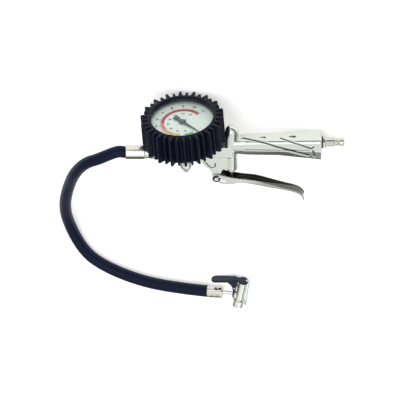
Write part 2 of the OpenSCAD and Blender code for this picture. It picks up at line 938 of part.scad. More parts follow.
// A smooth curve through the route's points
function curve_point(p, i, t) =
    let (n = len(p) - 1, a = p[max(i - 1, 0)], b = p[i], c = p[min(i + 1, n)], d = p[min(i + 2, n)])
        0.5 * (2 * b + (c - a) * t + (2 * a - 5 * b + 4 * c - d) * t * t
            + (3 * b - a - 3 * c + d) * t * t * t);
hose_steps = 2;
hose_line = concat(
    [for (i = [0:len(hose_route) - 2]) for (s = [0:hose_steps - 1])
        curve_point(hose_route, i, s / hose_steps)],
    [hose_route[len(hose_route) - 1]]
);
function unit(v) = v / norm(v);
function hose_way(i) =
    let (n = len(hose_line) - 1) unit(hose_line[min(i + 1, n)] - hose_line[max(i - 1, 0)]);

module hose() {
    sides = 12;
    n = len(hose_line);
    // end rings lie square to the fitting that they meet
    points = [for (i = [0:n - 1])
        let (w = hose_way(i), u = unit(cross([0, 0, 1], w)), v = cross(w, u))
            for (j = [0:sides - 1])
                hose_line[i] + hose_d / 2 * (u * cos(360 * j / sides) + v * sin(360 * j / sides))];
    color("black")
        polyhedron(points, tube_faces(n, sides));
}

module far_ferrule()
    color("silver")
        on_tube()
            translate([0, 0, tube_out])
                difference() {
                    cylinder(r = far_ferrule_r, h = chuck_ferrule_l);
                    translate([0, 0, tube_stop - tube_out])
                        cylinder(r = hose_d / 2 + seat_gap, h = chuck_ferrule_l);
                    translate([0, 0, -1])
                        cylinder(r = tube_r + seat_gap / 2, h = 10);
                }

/* Chuck */

module chuck_tube()
    color("silver")
        on_tube()
            translate([0, 0, chuck_bore_r + 0.6])
                ring(tube_r, 1.6, tube_stop - chuck_bore_r - 0.6);

module chuck_body()
    color("gainsboro")
        difference() {
            union() {
                on_chuck() {
                    translate([0, chuck_bottom, 0])
                        rotate([-90, 0, 0])
                            cylinder(r = chuck_r, h = chuck_top - chuck_bottom);
                    for (side = [-1, 1])
                        translate([lever_pivot[0] - 1.9, lever_pivot[1] - 1.9,
                            side * (ear_in + ear_out) / 2 - (ear_out - ear_in) / 2])
                            cube([-lever_pivot[0] - 2.4, 3.8, ear_out - ear_in]);
                }
            }
            on_chuck() {
                translate([0, chuck_bottom - 1, 0])
                    rotate([-90, 0, 0])
                        cylinder(r = chuck_bore_r, h = chuck_bore_top - chuck_bottom + 1);
                translate([lever_pivot[0], lever_pivot[1], 0])
                    cylinder(r = lever_pin_r + seat_gap / 2, h = 20, center = true);
            }
            on_tube()
                cylinder(r = tube_r + seat_gap / 2, h = 20);
        }

module chuck_collar()
    color("gainsboro")
        on_chuck()
            difference() {
                translate([0, collar_bottom, 0])
                    rotate([-90, 0, 0])
                        cylinder(r = collar_r, h = chuck_bottom - collar_bottom);
                translate([0, collar_bottom - 1, 0])
                    rotate([-90, 0, 0])
                        cylinder(r = mouth_r, h = 30);
                // slot for the claw, and the matching blind slot
                translate([0, claw_slot_low, -2])
                    cube([20, 5.4, 4]);
                translate([-collar_r - 1, claw_slot_low, -2])
                    cube([2.6, 5.4, 4]);
                translate([0, chuck_bottom - seal_t, 0])
                    rotate([-90, 0, 0])
                        cylinder(r = mouth_r + 1, h = seal_t + 1);
            }

module chuck_seal()
    color("dimgray")
        on_chuck()
            translate([0, chuck_bottom - seal_t, 0])
                rotate([-90, 0, 0])
                    ring(mouth_r + 1 - seat_gap / 2, 1.6, seal_t);

module depressor()
    color("goldenrod")
        on_chuck()
            translate([0, chuck_bottom - 2, 0])
                rotate([-90, 0, 0]) {
                    cylinder(r = 0.9, h = 8);
                    translate([0, 0, 5])
                        ring(chuck_bore_r - seat_gap / 2, 2.6, 2);
                    translate([-chuck_bore_r + seat_gap, -0.6, 5.4])
                        cube([2 * chuck_bore_r - 2 * seat_gap, 1.2, 1.2]);
                }

claw_top = chuck_top + 0.5 + head_cap_t + 0.9;

module chuck_lever()
    color("midnightblue")
        on_chuck()
            difference() {
                union() {
                    // round head over the chuck's top
                    translate([0, chuck_top + 0.5, 0])
                        rotate([-90, 0, 0])
                            cylinder(r = head_cap_r, h = head_cap_t);
                    // neck and thumb pad
                    linear_extrude(7, center = true)
                        polygon([[0, chuck_top + 0.5], [0, chuck_top + 2.9], [-6, chuck_top + 2.6],
                            [-12, 21], [-19, 18.2], [-19, 15.2], [-9, 18.6], [-6.4, chuck_top + 0.5]]);
                    translate([-17, 17, 0])
                        rotate([0, 0, 20])
                            rotate([90, 0, 0])
                                linear_extrude(pad_t, center = true) {
                                    translate([-17.4, -pad_half_w])
                                        square([17.4, 2 * pad_half_w]);
                                    translate([-17.4, 0])
                                        circle(r = pad_half_w);
                                }
                    // fork that straddles the ears, and the two guard legs
                    for (side = [-1, 1])
                        translate([0, 0, side * (fork_in + fork_out) / 2])
                            linear_extrude(fork_out - fork_in, center = true)
                                polygon([[-6.4, chuck_top + 0.6], [-12, 20.6], [-19, 17.6],
                                    [-18, 14.4], [-13.4, 12], [-11, 8.6], [-9.6, 5],
                                    [-8.9, -5.4], [-7.2, -5.4], [-7.1, 4], [-6.4, 6.6]]);
                }
                translate([lever_pivot[0], lever_pivot[1], 0])
                    cylinder(r = lever_pin_r + run_gap, h = 20, center = true);
            }

module chuck_claw()
    color("gray")
        on_chuck()
            linear_extrude(3, center = true)
                polygon([[3, claw_top - 0.9], [7.2, claw_top - 0.9], [7.2, 4], [8.6, -6],
                    [8.6, -13.6], [4.4, -13.6], [4.4, -14.8], [9.6, -14.8], [9.6, -6], [8.2, 4],
                    [8.2, claw_top - 0.6], [7.7, claw_top], [3, claw_top]]);

module chuck_pin()
    color("silver")
        on_chuck()
            translate([lever_pivot[0], lever_pivot[1], 0])
                cylinder(r = lever_pin_r, h = 2 * fork_out + 0.8, center = true);

module chuck_spring()
    color("lightsteelblue")
        on_chuck()
            translate([lever_pivot[0], lever_pivot[1], 0.1 - ear_in])
                coil_spring(1.65, 0.3, 4, 2 * ear_in - 0.2);

body_casting();
inlet_plug();
inlet_washer();
inlet_filter();
valve_seat();
valve_stem();
valve_rubber();
valve_spring();
gland_nut();
stem_seal();
trigger_lever();
pivot_pin();
pivot_clip();
bleed_bonnet();
bleed_button();
bleed_rubber();
bleed_spring();
gauge_socket();
gauge_case();
case_screws();
bourdon_tube();
tube_tip();
link_bar();
movement_frame();
sector_gear();
pinion();
hairspring();
dial_plate();
dial_screws();
zero_stop();
pointer();
spacer_ring();
lens();
bezel_ring();
rubber_boot();
hose_tail();
front_ferrule();
hose();
far_ferrule();
chuck_tube();
chuck_body();
chuck_collar();
chuck_seal();
depressor();
chuck_lever();
chuck_claw();
chuck_pin();
chuck_spring();
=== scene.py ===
"""A pistol tyre inflator lying on its side: grip, trigger, gauge in a ribbed boot, hose, chuck.

Lengths inside the classes are in millimetres, in one of three frames: the tool's (z along the
gauge, x back along the grip), the grip's (the tool's, drooped a little) and the chuck's.
"""
import json
import logging
import math
from dataclasses import dataclass, field
from enum import Enum

import bpy
import numpy as np
from mathutils import Matrix

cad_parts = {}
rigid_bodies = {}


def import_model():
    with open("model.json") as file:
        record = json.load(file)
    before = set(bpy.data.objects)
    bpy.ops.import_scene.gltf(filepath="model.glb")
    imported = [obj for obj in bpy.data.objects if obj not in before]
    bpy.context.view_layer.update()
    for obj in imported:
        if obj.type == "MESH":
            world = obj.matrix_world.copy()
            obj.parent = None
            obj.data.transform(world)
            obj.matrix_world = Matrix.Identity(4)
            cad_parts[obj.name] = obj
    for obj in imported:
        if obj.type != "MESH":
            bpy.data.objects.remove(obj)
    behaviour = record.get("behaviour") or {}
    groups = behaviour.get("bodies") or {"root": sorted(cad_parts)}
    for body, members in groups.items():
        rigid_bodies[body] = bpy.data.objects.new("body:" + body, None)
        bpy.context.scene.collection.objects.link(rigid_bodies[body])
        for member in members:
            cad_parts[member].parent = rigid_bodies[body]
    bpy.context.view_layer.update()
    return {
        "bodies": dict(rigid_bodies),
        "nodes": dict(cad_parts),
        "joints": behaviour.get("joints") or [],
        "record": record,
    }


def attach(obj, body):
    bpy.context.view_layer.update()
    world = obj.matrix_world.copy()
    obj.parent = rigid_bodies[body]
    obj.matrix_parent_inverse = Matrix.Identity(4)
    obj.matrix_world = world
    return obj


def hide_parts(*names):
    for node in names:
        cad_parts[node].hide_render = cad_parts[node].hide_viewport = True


LOG = logging.getLogger("inflator")
MM = 0.001
# name of the point attribute that says how far a point is darkened with painted shade
PAINTED_SHADE_ATTRIBUTE = "share"
X_AXIS, Y_AXIS, Z_AXIS = np.eye(3)

Triple = tuple[float, float, float]
Line = tuple[tuple[float, ...], ...]
Piece = bpy.types.Object


# ---------------------------------------------------------------- frames


@dataclass(frozen=True)
class Frame:
    """A right-handed frame in the row frame: origin in metres, axes as matrix columns."""

    origin: np.ndarray
    axes: np.ndarray

    def place(self, points: np.ndarray) -> np.ndarray:
        """Turn points in this frame, in millimetres, into metres in the row frame.

        Args:
            points: array whose last axis holds x, y and z.
        Returns:
            An array of the same shape.
        """
        return np.asarray(points, float) @ self.axes.T * MM + self.origin

    def read(self, points: np.ndarray) -> np.ndarray:
        """Turn row points in metres into millimetres in this frame.

        Args:
            points: array whose last axis holds x, y and z.
        Returns:
            An array of the same shape.
        """
        return (np.asarray(points, float) - self.origin) @ self.axes / MM

    def along(self, at: np.ndarray, forward: np.ndarray, up: np.ndarray) -> "Frame":
        """Make a frame at a point of this one.

        Args:
            at: the new origin here, in millimetres.
            forward: the new z axis in this frame, as a unit vector.
            up: a direction in this frame that the new x axis leans to.
        Returns:
            The new frame.
        """
        side = up - np.dot(up, forward) * forward
        side = side / np.linalg.norm(side)
        local = np.column_stack([side, np.cross(forward, side), forward])
        return Frame(self.place(at), self.axes @ local)


@dataclass(frozen=True)
class Layout:
    """The three frames of the object and the values they share."""

    tool: Frame
    grip: Frame
    chuck: Frame
    joint_height: float = 20.0
    chuck_turn: float = -14.0
    clip_pivot: tuple[float, float] = (-8.3, 9.0)

    @classmethod
    def from_joints(cls, joints: list[dict]) -> "Layout":
        """Read the frames off the joints, whose axes lie along them.

        Args:
            joints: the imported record's joints.
        Returns:
            The layout.
        """
        by_name = {j["name"]: j for j in joints}

        def unit(name: str) -> np.ndarray:
            """A joint's axis as a unit vector."""
            v = np.array(by_name[name]["axis"], float)
            return v / np.linalg.norm(v)

        across, dial, back = -unit("trigger_hinge"), -unit("needle_turn"), unit("valve_slide")
        origin = np.array(by_name["needle_turn"]["pos_m"]) - cls.joint_height * MM * dial
        turn = math.radians(cls.chuck_turn)
        chuck_axes = np.array([[math.cos(turn), -math.sin(turn), 0.0],
                               [math.sin(turn), math.cos(turn), 0.0], [0.0, 0.0, 1.0]])
        pivot = np.array(by_name["clip_hinge"]["pos_m"])
        chuck_origin = pivot - chuck_axes @ np.array([*cls.clip_pivot, 0.0]) * MM
        return cls(Frame(origin, np.column_stack([np.cross(across, dial), across, dial])),
                   Frame(origin, np.column_stack([np.cross(across, back), across, back])),
                   Frame(chuck_origin, chuck_axes))


# ---------------------------------------------------------------- shapes


def polar(radius: object, angle: np.ndarray) -> np.ndarray:
    """Points (r cos a, r sin a) over radii and angles in radians that broadcast."""
    return np.stack([radius * np.cos(angle), radius * np.sin(angle)], -1)


def lift(rings: np.ndarray, heights: object) -> np.ndarray:
    """Lift flat rings to their heights.

    Args:
        rings: (rings, points in a ring, 2).
        heights: one for each ring.
    Returns:
        (rings, points in a ring, 3) points.
    """
    z = np.broadcast_to(np.asarray(heights, float)[:, None, None], rings.shape[:2] + (1,))
    return np.concatenate([rings, z], -1)


def fillet(corners: object, radius: object, steps: int = 5, closed: bool = False,
           reach: float = 0.48) -> np.ndarray:
    """Round a polyline's corners: each corner P becomes (1-t)^2 A + 2t(1-t) P + t^2 B.

    A and B lie on the two legs, a radius away from P, or at a share of a shorter leg.

    Args:
        corners: (n, k) points, or (..., n, k) for many closed lines.
        radius: distance from the corner at which the round starts, one or n.
        steps: points in a round.
        closed: whether the last point joins the first.
        reach: the share of a leg that a round may take.
    Returns:
        The rounded points.
    """
    p = np.asarray(corners, float)
    before, after = np.roll(p, 1, -2), np.roll(p, -1, -2)
    if not closed:
        before[0], after[-1] = p[0], p[-1]

    def start(other: np.ndarray) -> np.ndarray:
        """Find where the rounds meet the legs.

        Args:
            other: the corner at each leg's other end.
        Returns:
            One point for each corner.
        """
        leg = np.linalg.norm(other - p, axis=-1, keepdims=True)
        cut = np.minimum(np.reshape(radius, (-1, 1)), reach * leg) / np.maximum(leg, 1e-9)
        return (p + (other - p) * cut)[..., None, :]

    t = np.linspace(0, 1, steps)[:, None]
    curve = ((1 - t) ** 2 * start(before) + 2 * t * (1 - t) * p[..., None, :]
             + t ** 2 * start(after))
    if closed:
        return curve.reshape(*p.shape[:-2], -1, p.shape[-1])
    return np.vstack([p[:1], curve[1:-1].reshape(-1, p.shape[1]), p[-1:]])


def smooth_path(points: object, steps: int) -> np.ndarray:
    """Run a Catmull-Rom curve through points.

    Between b and c, with neighbours a and d, the curve at t is half of
    2b + (c-a)t + (2a-5b+4c-d)t^2 + (3b-a-3c+d)t^3. The end points are their own neighbours.

    Args:
        points: (n, k) points.
        steps: stretches between two points.
    Returns:
        ((n - 1) * steps + 1, k) points.
    """
    p = np.asarray(points, float)
    ext = np.vstack([p[:1], p, p[-1:]])
    a, b, c, d = ext[:-3, None], ext[1:-2, None], ext[2:-1, None], ext[3:, None]
    t = (np.arange(steps) / steps)[None, :, None]
    q = 0.5 * (2 * b + (c - a) * t + (2 * a - 5 * b + 4 * c - d) * t ** 2
               + (3 * b - a - 3 * c + d) * t ** 3)
    return np.vstack([q.reshape(-1, p.shape[1]), p[-1:]])


def grid_faces(rows: int, cols: int, wrap_rows: bool) -> list[list[int]]:
    """Quads of a closed grid whose columns wrap round.

    Args:
        rows: rings.
        cols: points in a ring.
        wrap_rows: whether the last ring joins the first; if not, a face closes each end.
    Returns:
        Faces as lists of indices.
    """
    i = np.arange(rows if wrap_rows else rows - 1)[:, None]
    j = np.arange(cols)[None, :]
    i2, j2 = (i + 1) % rows, (j + 1) % cols
    quads = np.stack([i * cols + j, i * cols + j2, i2 * cols + j2, i2 * cols + j], -1)
    faces = quads.reshape(-1, 4).tolist()
    if not wrap_rows:
        faces += [list(range(cols))[::-1], list(range((rows - 1) * cols, rows * cols))]
    return faces


def new_object(name: str, data: bpy.types.ID) -> Piece:
    """Add an object to the scene.

    Args:
        name: its name.
        data: its mesh, curve, lamp or camera.
    Returns:
        The object.
    """
    obj = bpy.data.objects.new(name, data)
    bpy.context.scene.collection.objects.link(obj)
    return obj


def final_mesh(obj: Piece) -> bpy.types.Mesh:
    """Make a mesh of an object with its modifiers applied.

    Args:
        obj: the object.
    Returns:
        The new mesh.
    """
    graph = bpy.context.evaluated_depsgraph_get()
    graph.update()
    return bpy.data.meshes.new_from_object(obj.evaluated_get(graph))


def mesh_points(mesh: bpy.types.Mesh) -> np.ndarray:
    """Read all vertex positions of a mesh.

    Args:
        mesh: the mesh.
    Returns:
        An (n, 3) array.
    """
    flat = np.empty(len(mesh.vertices) * 3)
    mesh.vertices.foreach_get("co", flat)
    return flat.reshape(-1, 3)


def set_painted_shade(obj: Piece, marks: np.ndarray) -> None:
    """Store how far each point takes the finish's painted shade colour, from 0 to 1.

    Args:
        obj: the object.
        marks: one value for each vertex, or for the first vertices.
    """
    values = np.zeros(len(obj.data.vertices), np.float32)
    values[:len(marks)] = marks
    layer = obj.data.attributes.new(PAINTED_SHADE_ATTRIBUTE, "FLOAT", "POINT")
    layer.data.foreach_set("value", values)


def soft_copy(source: Piece, name: str, voxel: float, rounds: int) -> Piece:
    """Copy a CAD node and round its edges, as casting or moulding does.

    The merged copy is rebuilt on a voxel grid and then relaxed, which rounds each corner by
    about two voxels.

    Args:
        source: the CAD node.
        name: the piece's name.
        voxel: grid size in millimetres.
        rounds: relaxing steps.
    Returns:
        The new object, with its modifiers applied.
    """
    obj = new_object(name, source.data.copy())
    weld = obj.modifiers.new("weld", "WELD")
    weld.merge_threshold = 1e-5
    remesh = obj.modifiers.new("remesh", "REMESH")
    remesh.mode = "VOXEL"
    remesh.voxel_size = voxel * MM
    relax = obj.modifiers.new("relax", "SMOOTH")
    relax.factor = 0.5
    relax.iterations = rounds
    done = final_mesh(obj)
    obj.modifiers.clear()
    obj.data = done
    done.name = name
    done.materials.clear()
    done.shade_smooth()
    return obj


class Shell:
    """Points and faces that grow piece by piece and become one mesh."""

    def __init__(self) -> None:
        """Start empty."""
        self.points: list[np.ndarray] = []
        self.faces: list[list[int]] = []
        self.count = 0

    def add(self, points: np.ndarray, faces: list[list[int]]) -> "Shell":
        """Add a closed piece, turned so that its faces point outwards.

        The sign of the summed tetrahedra between the middle and each face says which way the
        faces point.

        Args:
            points: points in metres, on the last axis.
            faces: faces as lists of indices.
        Returns:
            This shell.
        """
        pts = np.asarray(points, float).reshape(-1, 3)
        fans = np.array([[f[0], f[k], f[k + 1]] for f in faces for k in range(1, len(f) - 1)])
        a, b, c = np.moveaxis((pts - pts.mean(0))[fans], 1, 0)
        if np.einsum("ij,ij->i", a, np.cross(b, c)).sum() < 0:
            faces = [f[::-1] for f in faces]
        self.points.append(pts)
        self.faces += [[k + self.count for k in f] for f in faces]
        self.count += len(pts)
        return self

    def grid(self, points: np.ndarray, wrap_rows: bool = False) -> "Shell":
        """Add a grid of rings.

        Args:
            points: (rings, points in a ring, 3) in metres.
            wrap_rows: whether the last ring joins the first.
        Returns:
            This shell.
        """
        return self.add(points, grid_faces(*points.shape[:2], wrap_rows))

    def lathe(self, frame: Frame, profile: np.ndarray, sides: int = 64,
              ring: bool = False) -> "Shell":
        """Add a turned shape: a profile point (r, z) becomes (r cos a, r sin a, z).

        Args:
            frame: frame whose z axis is the turning axis.
            profile: (n, 2) radii and heights.
            sides: points round the axis.
            ring: whether the profile is a closed loop.
        Returns:
            This shell.
        """
        angle = np.linspace(0, math.tau, sides, endpoint=False)
        return self.grid(frame.place(lift(polar(profile[:, :1], angle), profile[:, 1])), ring)

    def plate(self, frame: Frame, outline: np.ndarray, low: float, high: float,
              edge: float) -> "Shell":
        """Add a flat plate with eased edges from its outline in x and y.

        Near each face the outline is drawn in towards its middle by the edge width.

        Args:
            frame: frame whose z axis is square to the plate.
            outline: (n, 2) points.
            low, high: heights of the two faces.
            edge: width of the eased edge.
        Returns:
            This shell.
        """
        after = np.roll(outline, -1, 0)
        way = after - np.roll(outline, 1, 0)
        square = np.stack([way[:, 1], -way[:, 0]], -1) / np.linalg.norm(way, axis=1)[:, None]
        area = np.sum(outline[:, 0] * after[:, 1] - outline[:, 1] * after[:, 0])
        inset = edge * np.array([1, 0.3, 0, 0, 0.3, 1])[:, None, None]
        z = [low, low + 0.3 * edge, low + edge, high - edge, high - 0.3 * edge, high]
        return self.grid(frame.place(lift(outline - np.sign(area) * inset * square, z)))

    def build(self, name: str, sharp: float = 38.0) -> Piece:
        """Make the mesh object.

        Args:
            name: the piece's name.
            sharp: angle in degrees past which an edge is drawn sharp.
        Returns:
            The object, at the origin.
        """
        mesh = bpy.data.meshes.new(name)
        mesh.from_pydata(np.vstack(self.points).tolist(), [], self.faces)
        mesh.validate()
        mesh.shade_smooth()
        mesh.set_sharp_from_angle(angle=math.radians(sharp))
        return new_object(name, mesh)


# ---------------------------------------------------------------- materials


class Wire:
    """A shader socket that takes part in Python arithmetic."""

    def __init__(self, graph: "Graph", socket: bpy.types.NodeSocket) -> None:
        """Wrap a socket of a graph."""
        self.graph, self.socket = graph, socket

    def _math(self, operation: str, *values: object) -> "Wire":
        """Add a Math node of that operation on the values."""
        return self.graph.node("ShaderNodeMath", {"operation": operation}, values)

    def __add__(self, other: object) -> "Wire":
        """self + other."""
        return self._math("ADD", self, other)

    __radd__ = __add__

    def __mul__(self, other: object) -> "Wire":
        """self * other."""
        return self._math("MULTIPLY", self, other)

    __rmul__ = __mul__

    def __sub__(self, other: object) -> "Wire":
        """self - other."""
        return self._math("SUBTRACT", self, other)

    def __rsub__(self, other: object) -> "Wire":
        """other - self."""
        return self._math("SUBTRACT", other, self)

    def clamp(self) -> "Wire":
        """This value held between 0 and 1."""
        return self.graph.node("ShaderNodeClamp", {}, [self, 0.0, 1.0])

    def wave(self) -> "Wire":
        """The sine of this value, from 0 to 1."""
        return self._math("SINE", self) * 0.5 + 0.5


class Graph:
    """The node graph of a material or a world, built from Python expressions."""

    def __init__(self, owner: bpy.types.Material | bpy.types.World, shader: str) -> None:
        """Start from the owner's own surface node.

        Args:
            owner: the material or world.
            shader: the node's name.
        """
        owner.use_nodes = True
        self.tree = owner.node_tree
        self.shader = self.tree.nodes[shader]
        self.owner = owner

    @classmethod
    def of_material(cls, name: str) -> "Graph":
        """Start a new material."""
        return cls(bpy.data.materials.new(name), "Principled BSDF")

    def feed(self, target: bpy.types.NodeSocket, value: object) -> None:
        """Give an input its value.

        Args:
            target: the input.
            value: a wire to link, or a number or colour to set.
        """
        if isinstance(value, Wire):
            self.tree.links.new(value.socket, target)
        else:
            target.default_value = value

    def node(self, kind: str, settings: dict, values: object = (), output: object = 0) -> Wire:
        """Add one node.

        Args:
            kind: the node's type.
            settings: its properties; "stops" sets a ramp's (place, colour) pairs.
            values: inputs in order, or a dict by name or index; numbers, colours or wires.
            output: index or name of the output wanted.
        Returns:
            That output.
        """
        made = self.tree.nodes.new(kind)
        for key, value in settings.items():
            if key == "stops":
                ramp = made.color_ramp
                while len(ramp.elements) < len(value):
                    ramp.elements.new(0.5)
                for element, (place, colour) in zip(ramp.elements, value):
                    element.position, element.color = place, colour
            else:
                setattr(made, key, value)
        for key, value in values.items() if isinstance(values, dict) else enumerate(values):
            self.feed(made.inputs[key], value)
        return Wire(self, made.outputs[output])

    def coords(self, frame: Frame | None = None, stretch: Triple = (1, 1, 1)) -> Wire:
        """Object coordinates in millimetres, in a frame if one is given.

        Args:
            frame: frame in which the pattern lies.
            stretch: scale along each axis.
        Returns:
            The coordinates.
        """
        at = self.node("ShaderNodeTexCoord", {}, (), "Object")
        if frame is not None:
            turn = Matrix(frame.axes.tolist()).to_euler()
            at = self.node("ShaderNodeMapping", {"vector_type": "TEXTURE"}, {
                "Vector": at, "Location": tuple(frame.origin), "Rotation": tuple(turn)})
        return self.node("ShaderNodeMapping", {}, {
            "Vector": at, "Scale": tuple(s / MM for s in stretch)})

    def split(self, vector: Wire, axis: str) -> Wire:
        """One part of a vector: X, Y or Z."""
        return self.node("ShaderNodeSeparateXYZ", {}, [vector], axis)

    def noise(self, coords: Wire, scale: float, detail: float = 3.0) -> Wire:
        """Noise of about 1/scale millimetres, from 0 to 1."""
        return self.node("ShaderNodeTexNoise", {}, {
            "Vector": coords, "Scale": scale, "Detail": detail}, "Fac")

    def mix(self, factor: object, a: object, b: object) -> Wire:
        """Blend two colours.

        Args:
            factor: 0 for a, 1 for b.
            a, b: colours or wires.
        Returns:
            The blend.
        """
        a, b = (c if isinstance(c, Wire) else (*c, 1.0) for c in (a, b))
        return self.node("ShaderNodeMix", {"data_type": "RGBA"}, {0: factor, 6: a, 7: b}, 2)

    def surface(self, **sockets: object) -> None:
        """Set or link the shader's sockets.

        Args:
            sockets: a value or wire for each name, with _ for a space in it.
        """
        for key, value in sockets.items():
            self.feed(self.shader.inputs[key.replace("_", " ")], value)

    def bump(self, height: Wire, depth: float, under: Wire | None = None) -> Wire:
        """A bump of that depth in millimetres.

        Args:
            height: 0 to 1.
            depth: in millimetres.
            under: a normal that it adds to.
        Returns:
            The normal.
        """
        values = {"Strength": 1.0, "Distance": depth * MM, "Height": height}
        if under is not None:
            values["Normal"] = under
        return self.node("ShaderNodeBump", {}, values, "Normal")


class Texture(Enum):
    """What a finish's surface is like close up: noises as (scale, detail, share)."""

    CAST = ((0.6, 2.0, 0.4), (0.15, 2.0, 0.6))
    MOULDED = ((5.0, 2.0, 0.6), (1.1, 2.0, 0.4))
    SMOOTH = ((0.9, 5.0, 1.0),)
    DRAWN = ((1.5, 2.0, 1.0),)


BROAD, WORN = 0.06, 0.22  # scales of a finish's uneven colour and uneven polish
SHADE = 0.86  # how dark a finish's second colour is where it names none


@dataclass(frozen=True)
class Finish:
    """One finish: its base, its grain in millimetres, how uneven it is and a darker colour of
    painted shade.
    """

    name: str
    colour: Triple
    roughness: float
    metallic: float
    texture: Texture
    grain: float
    uneven: float
    tint: Triple | None = None
    specular: float = 0.5
    # painted shade: the darker colour and its roughness where a point's share is set
    painted_shade: Triple | None = None
    shade_roughness: float = 0.5

    def material(self) -> bpy.types.Material:
        """Build the material.

        Triple, roughness and a shallow bump each follow noise of their own size. Drawn metal has
        its pattern pressed together along z. Where a point's share is set, the colour goes over
        to a darker colour of painted shade.

        Returns:
            The material.
        """
        g = Graph.of_material(self.name)
        at = g.coords(stretch=(1, 1, 3 if self.texture is Texture.DRAWN else 1))
        fine = sum(share * g.noise(at, scale, detail) for scale, detail, share
                   in self.texture.value)
        broad = g.noise(at, BROAD)
        worn = g.noise(at, WORN, 6.0)
        other = self.tint or tuple(SHADE * c for c in self.colour)
        colour = g.mix((broad * 1.6 - 0.3).clamp(), self.colour, other)
        rough = (self.roughness - self.uneven * 0.5) + self.uneven * worn
        # painted shade: blend towards the darker colour by the point's share
        if self.painted_shade is not None:
            share = g.node("ShaderNodeAttribute", {"attribute_name": PAINTED_SHADE_ATTRIBUTE}, (), "Fac").clamp()
            colour = g.mix(share, colour, self.painted_shade)
            rough = rough + share * (self.shade_roughness - self.roughness)
        g.surface(Base_Color=colour, Roughness=rough.clamp(), Metallic=self.metallic,
                  Specular_IOR_Level=self.specular, Normal=g.bump(fine, self.grain))
        return g.owner


def dress(obj: Piece, material: bpy.types.Material) -> None:
    """Give an object one material in every slot.

    Args:
        obj: the object.
        material: its material.
    """
    if not obj.data.materials:
        obj.data.materials.append(material)
    for k in range(len(obj.data.materials)):
        obj.data.materials[k] = material


@dataclass
class Workshop:
    """What every sub-assembly needs: the frames, the CAD nodes and the finishes."""

    layout: Layout
    nodes: dict[str, Piece]
    made: dict[str, bpy.types.Material] = field(default_factory=dict)

    def finish(self, finish: Finish) -> bpy.types.Material:
        """Look up the material of a finish, which is built once.

        Args:
            finish: the finish.
        Returns:
            Its material.
        """
        if finish.name not in self.made:
            self.made[finish.name] = finish.material()
        return self.made[finish.name]

    def paint_nodes(self, finish: Finish, *names: str) -> None:
        """Dress CAD nodes that keep their own shape.

        Args:
            finish: their finish.
            names: the nodes.
        """
        for name in names:
            dress(self.nodes[name], self.finish(finish))
            LOG.info("node %s: %s", name, finish.name)

    def fit(self, obj: Piece, finish: Finish | bpy.types.Material, body: str, slot: str,
            *replaced: str) -> Piece:
        """Dress a new piece, tie it to its body and hide what it replaces.

        Args:
            obj: the piece.
            finish: its finish or material.
            body: the CAD body that it rides on.
            slot: the record's material slot; not used.
            replaced: CAD nodes that it stands for.
        Returns:
            The piece.
        """
        dress(obj, self.finish(finish) if isinstance(finish, Finish) else finish)
        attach(obj, body)
        if replaced:
            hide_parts(*replaced)
        LOG.info("piece %s on %s, %d faces", obj.name, body, len(obj.data.polygons))
        return obj


# ---------------------------------------------------------------- finishes

# painted shade: the last colour here darkens the grip's grooves and the lug's hook
CASTING = Finish("cast_alloy", (0.66, 0.68, 0.63), 0.24, 1.0, Texture.CAST, 0.012, 0.08,
                 (0.62, 0.65, 0.59), painted_shade=(0.05, 0.055, 0.05), shade_roughness=0.7)
# painted shade: the last colour here darkens the trigger's inside and its finger's end
PRESSING = Finish("pressed_chrome", (0.66, 0.67, 0.65), 0.16, 1.0, Texture.SMOOTH, 0.002, 0.05,
                  painted_shade=(0.11, 0.11, 0.105), shade_roughness=0.12)
CHROME = Finish("bright_chrome", (0.86, 0.87, 0.86), 0.10, 1.0, Texture.SMOOTH, 0.004, 0.08)
NICKEL = Finish("nickel_plate", (0.64, 0.64, 0.57), 0.18, 1.0, Texture.SMOOTH, 0.008, 0.12)
SATIN = Finish("satin_nickel", (0.84, 0.88, 0.82), 0.30, 1.0, Texture.SMOOTH, 0.004, 0.08)
STEEL = Finish("ground_steel", (0.66, 0.66, 0.66), 0.28, 1.0, Texture.DRAWN, 0.006, 0.12)
SPRING = Finish("spring_wire", (0.55, 0.57, 0.60), 0.25, 1.0, Texture.DRAWN, 0.006, 0.10)
BRASS = Finish("turned_brass", (0.78, 0.58, 0.26), 0.24, 1.0, Texture.SMOOTH, 0.008, 0.14)
BRONZE = Finish("sintered_bronze", (0.50, 0.34, 0.18), 0.62, 1.0, Texture.CAST, 0.09, 0.15)
BLACK_OXIDE = Finish("black_oxide", (0.05, 0.055, 0.06), 0.34, 0.85, Texture.SMOOTH, 0.006, 0.14)
CASE = Finish("case_enamel", (0.012, 0.015, 0.018), 0.32, 0.0, Texture.SMOOTH, 0.01, 0.10)
FIBRE = Finish("black_fibre", (0.03, 0.03, 0.032), 0.75, 0.0, Texture.SMOOTH, 0.03, 0.12)
NEEDLE = Finish("needle_paint", (0.030, 0.060, 0.072), 0.38, 0.0, Texture.SMOOTH, 0.004, 0.08)
DIAL = Finish("dial_enamel", (0.80, 0.90, 0.83), 0.50, 0.0, Texture.SMOOTH, 0.003, 0.08,
              (0.76, 0.87, 0.80))
SEAL = Finish("seal_rubber", (0.02, 0.02, 0.022), 0.60, 0.0, Texture.MOULDED, 0.02, 0.15)
BOOT = Finish("boot_rubber", (0.003, 0.005, 0.013), 0.42, 0.0, Texture.MOULDED, 0.02, 0.14,
              (0.005, 0.009, 0.022), specular=0.14)
CLIP_PLASTIC = Finish("clip_plastic", (0.002, 0.004, 0.020), 0.34, 0.0, Texture.MOULDED, 0.01,
                      0.14, (0.004, 0.008, 0.032), specular=0.3)


# ---------------------------------------------------------------- view and stage


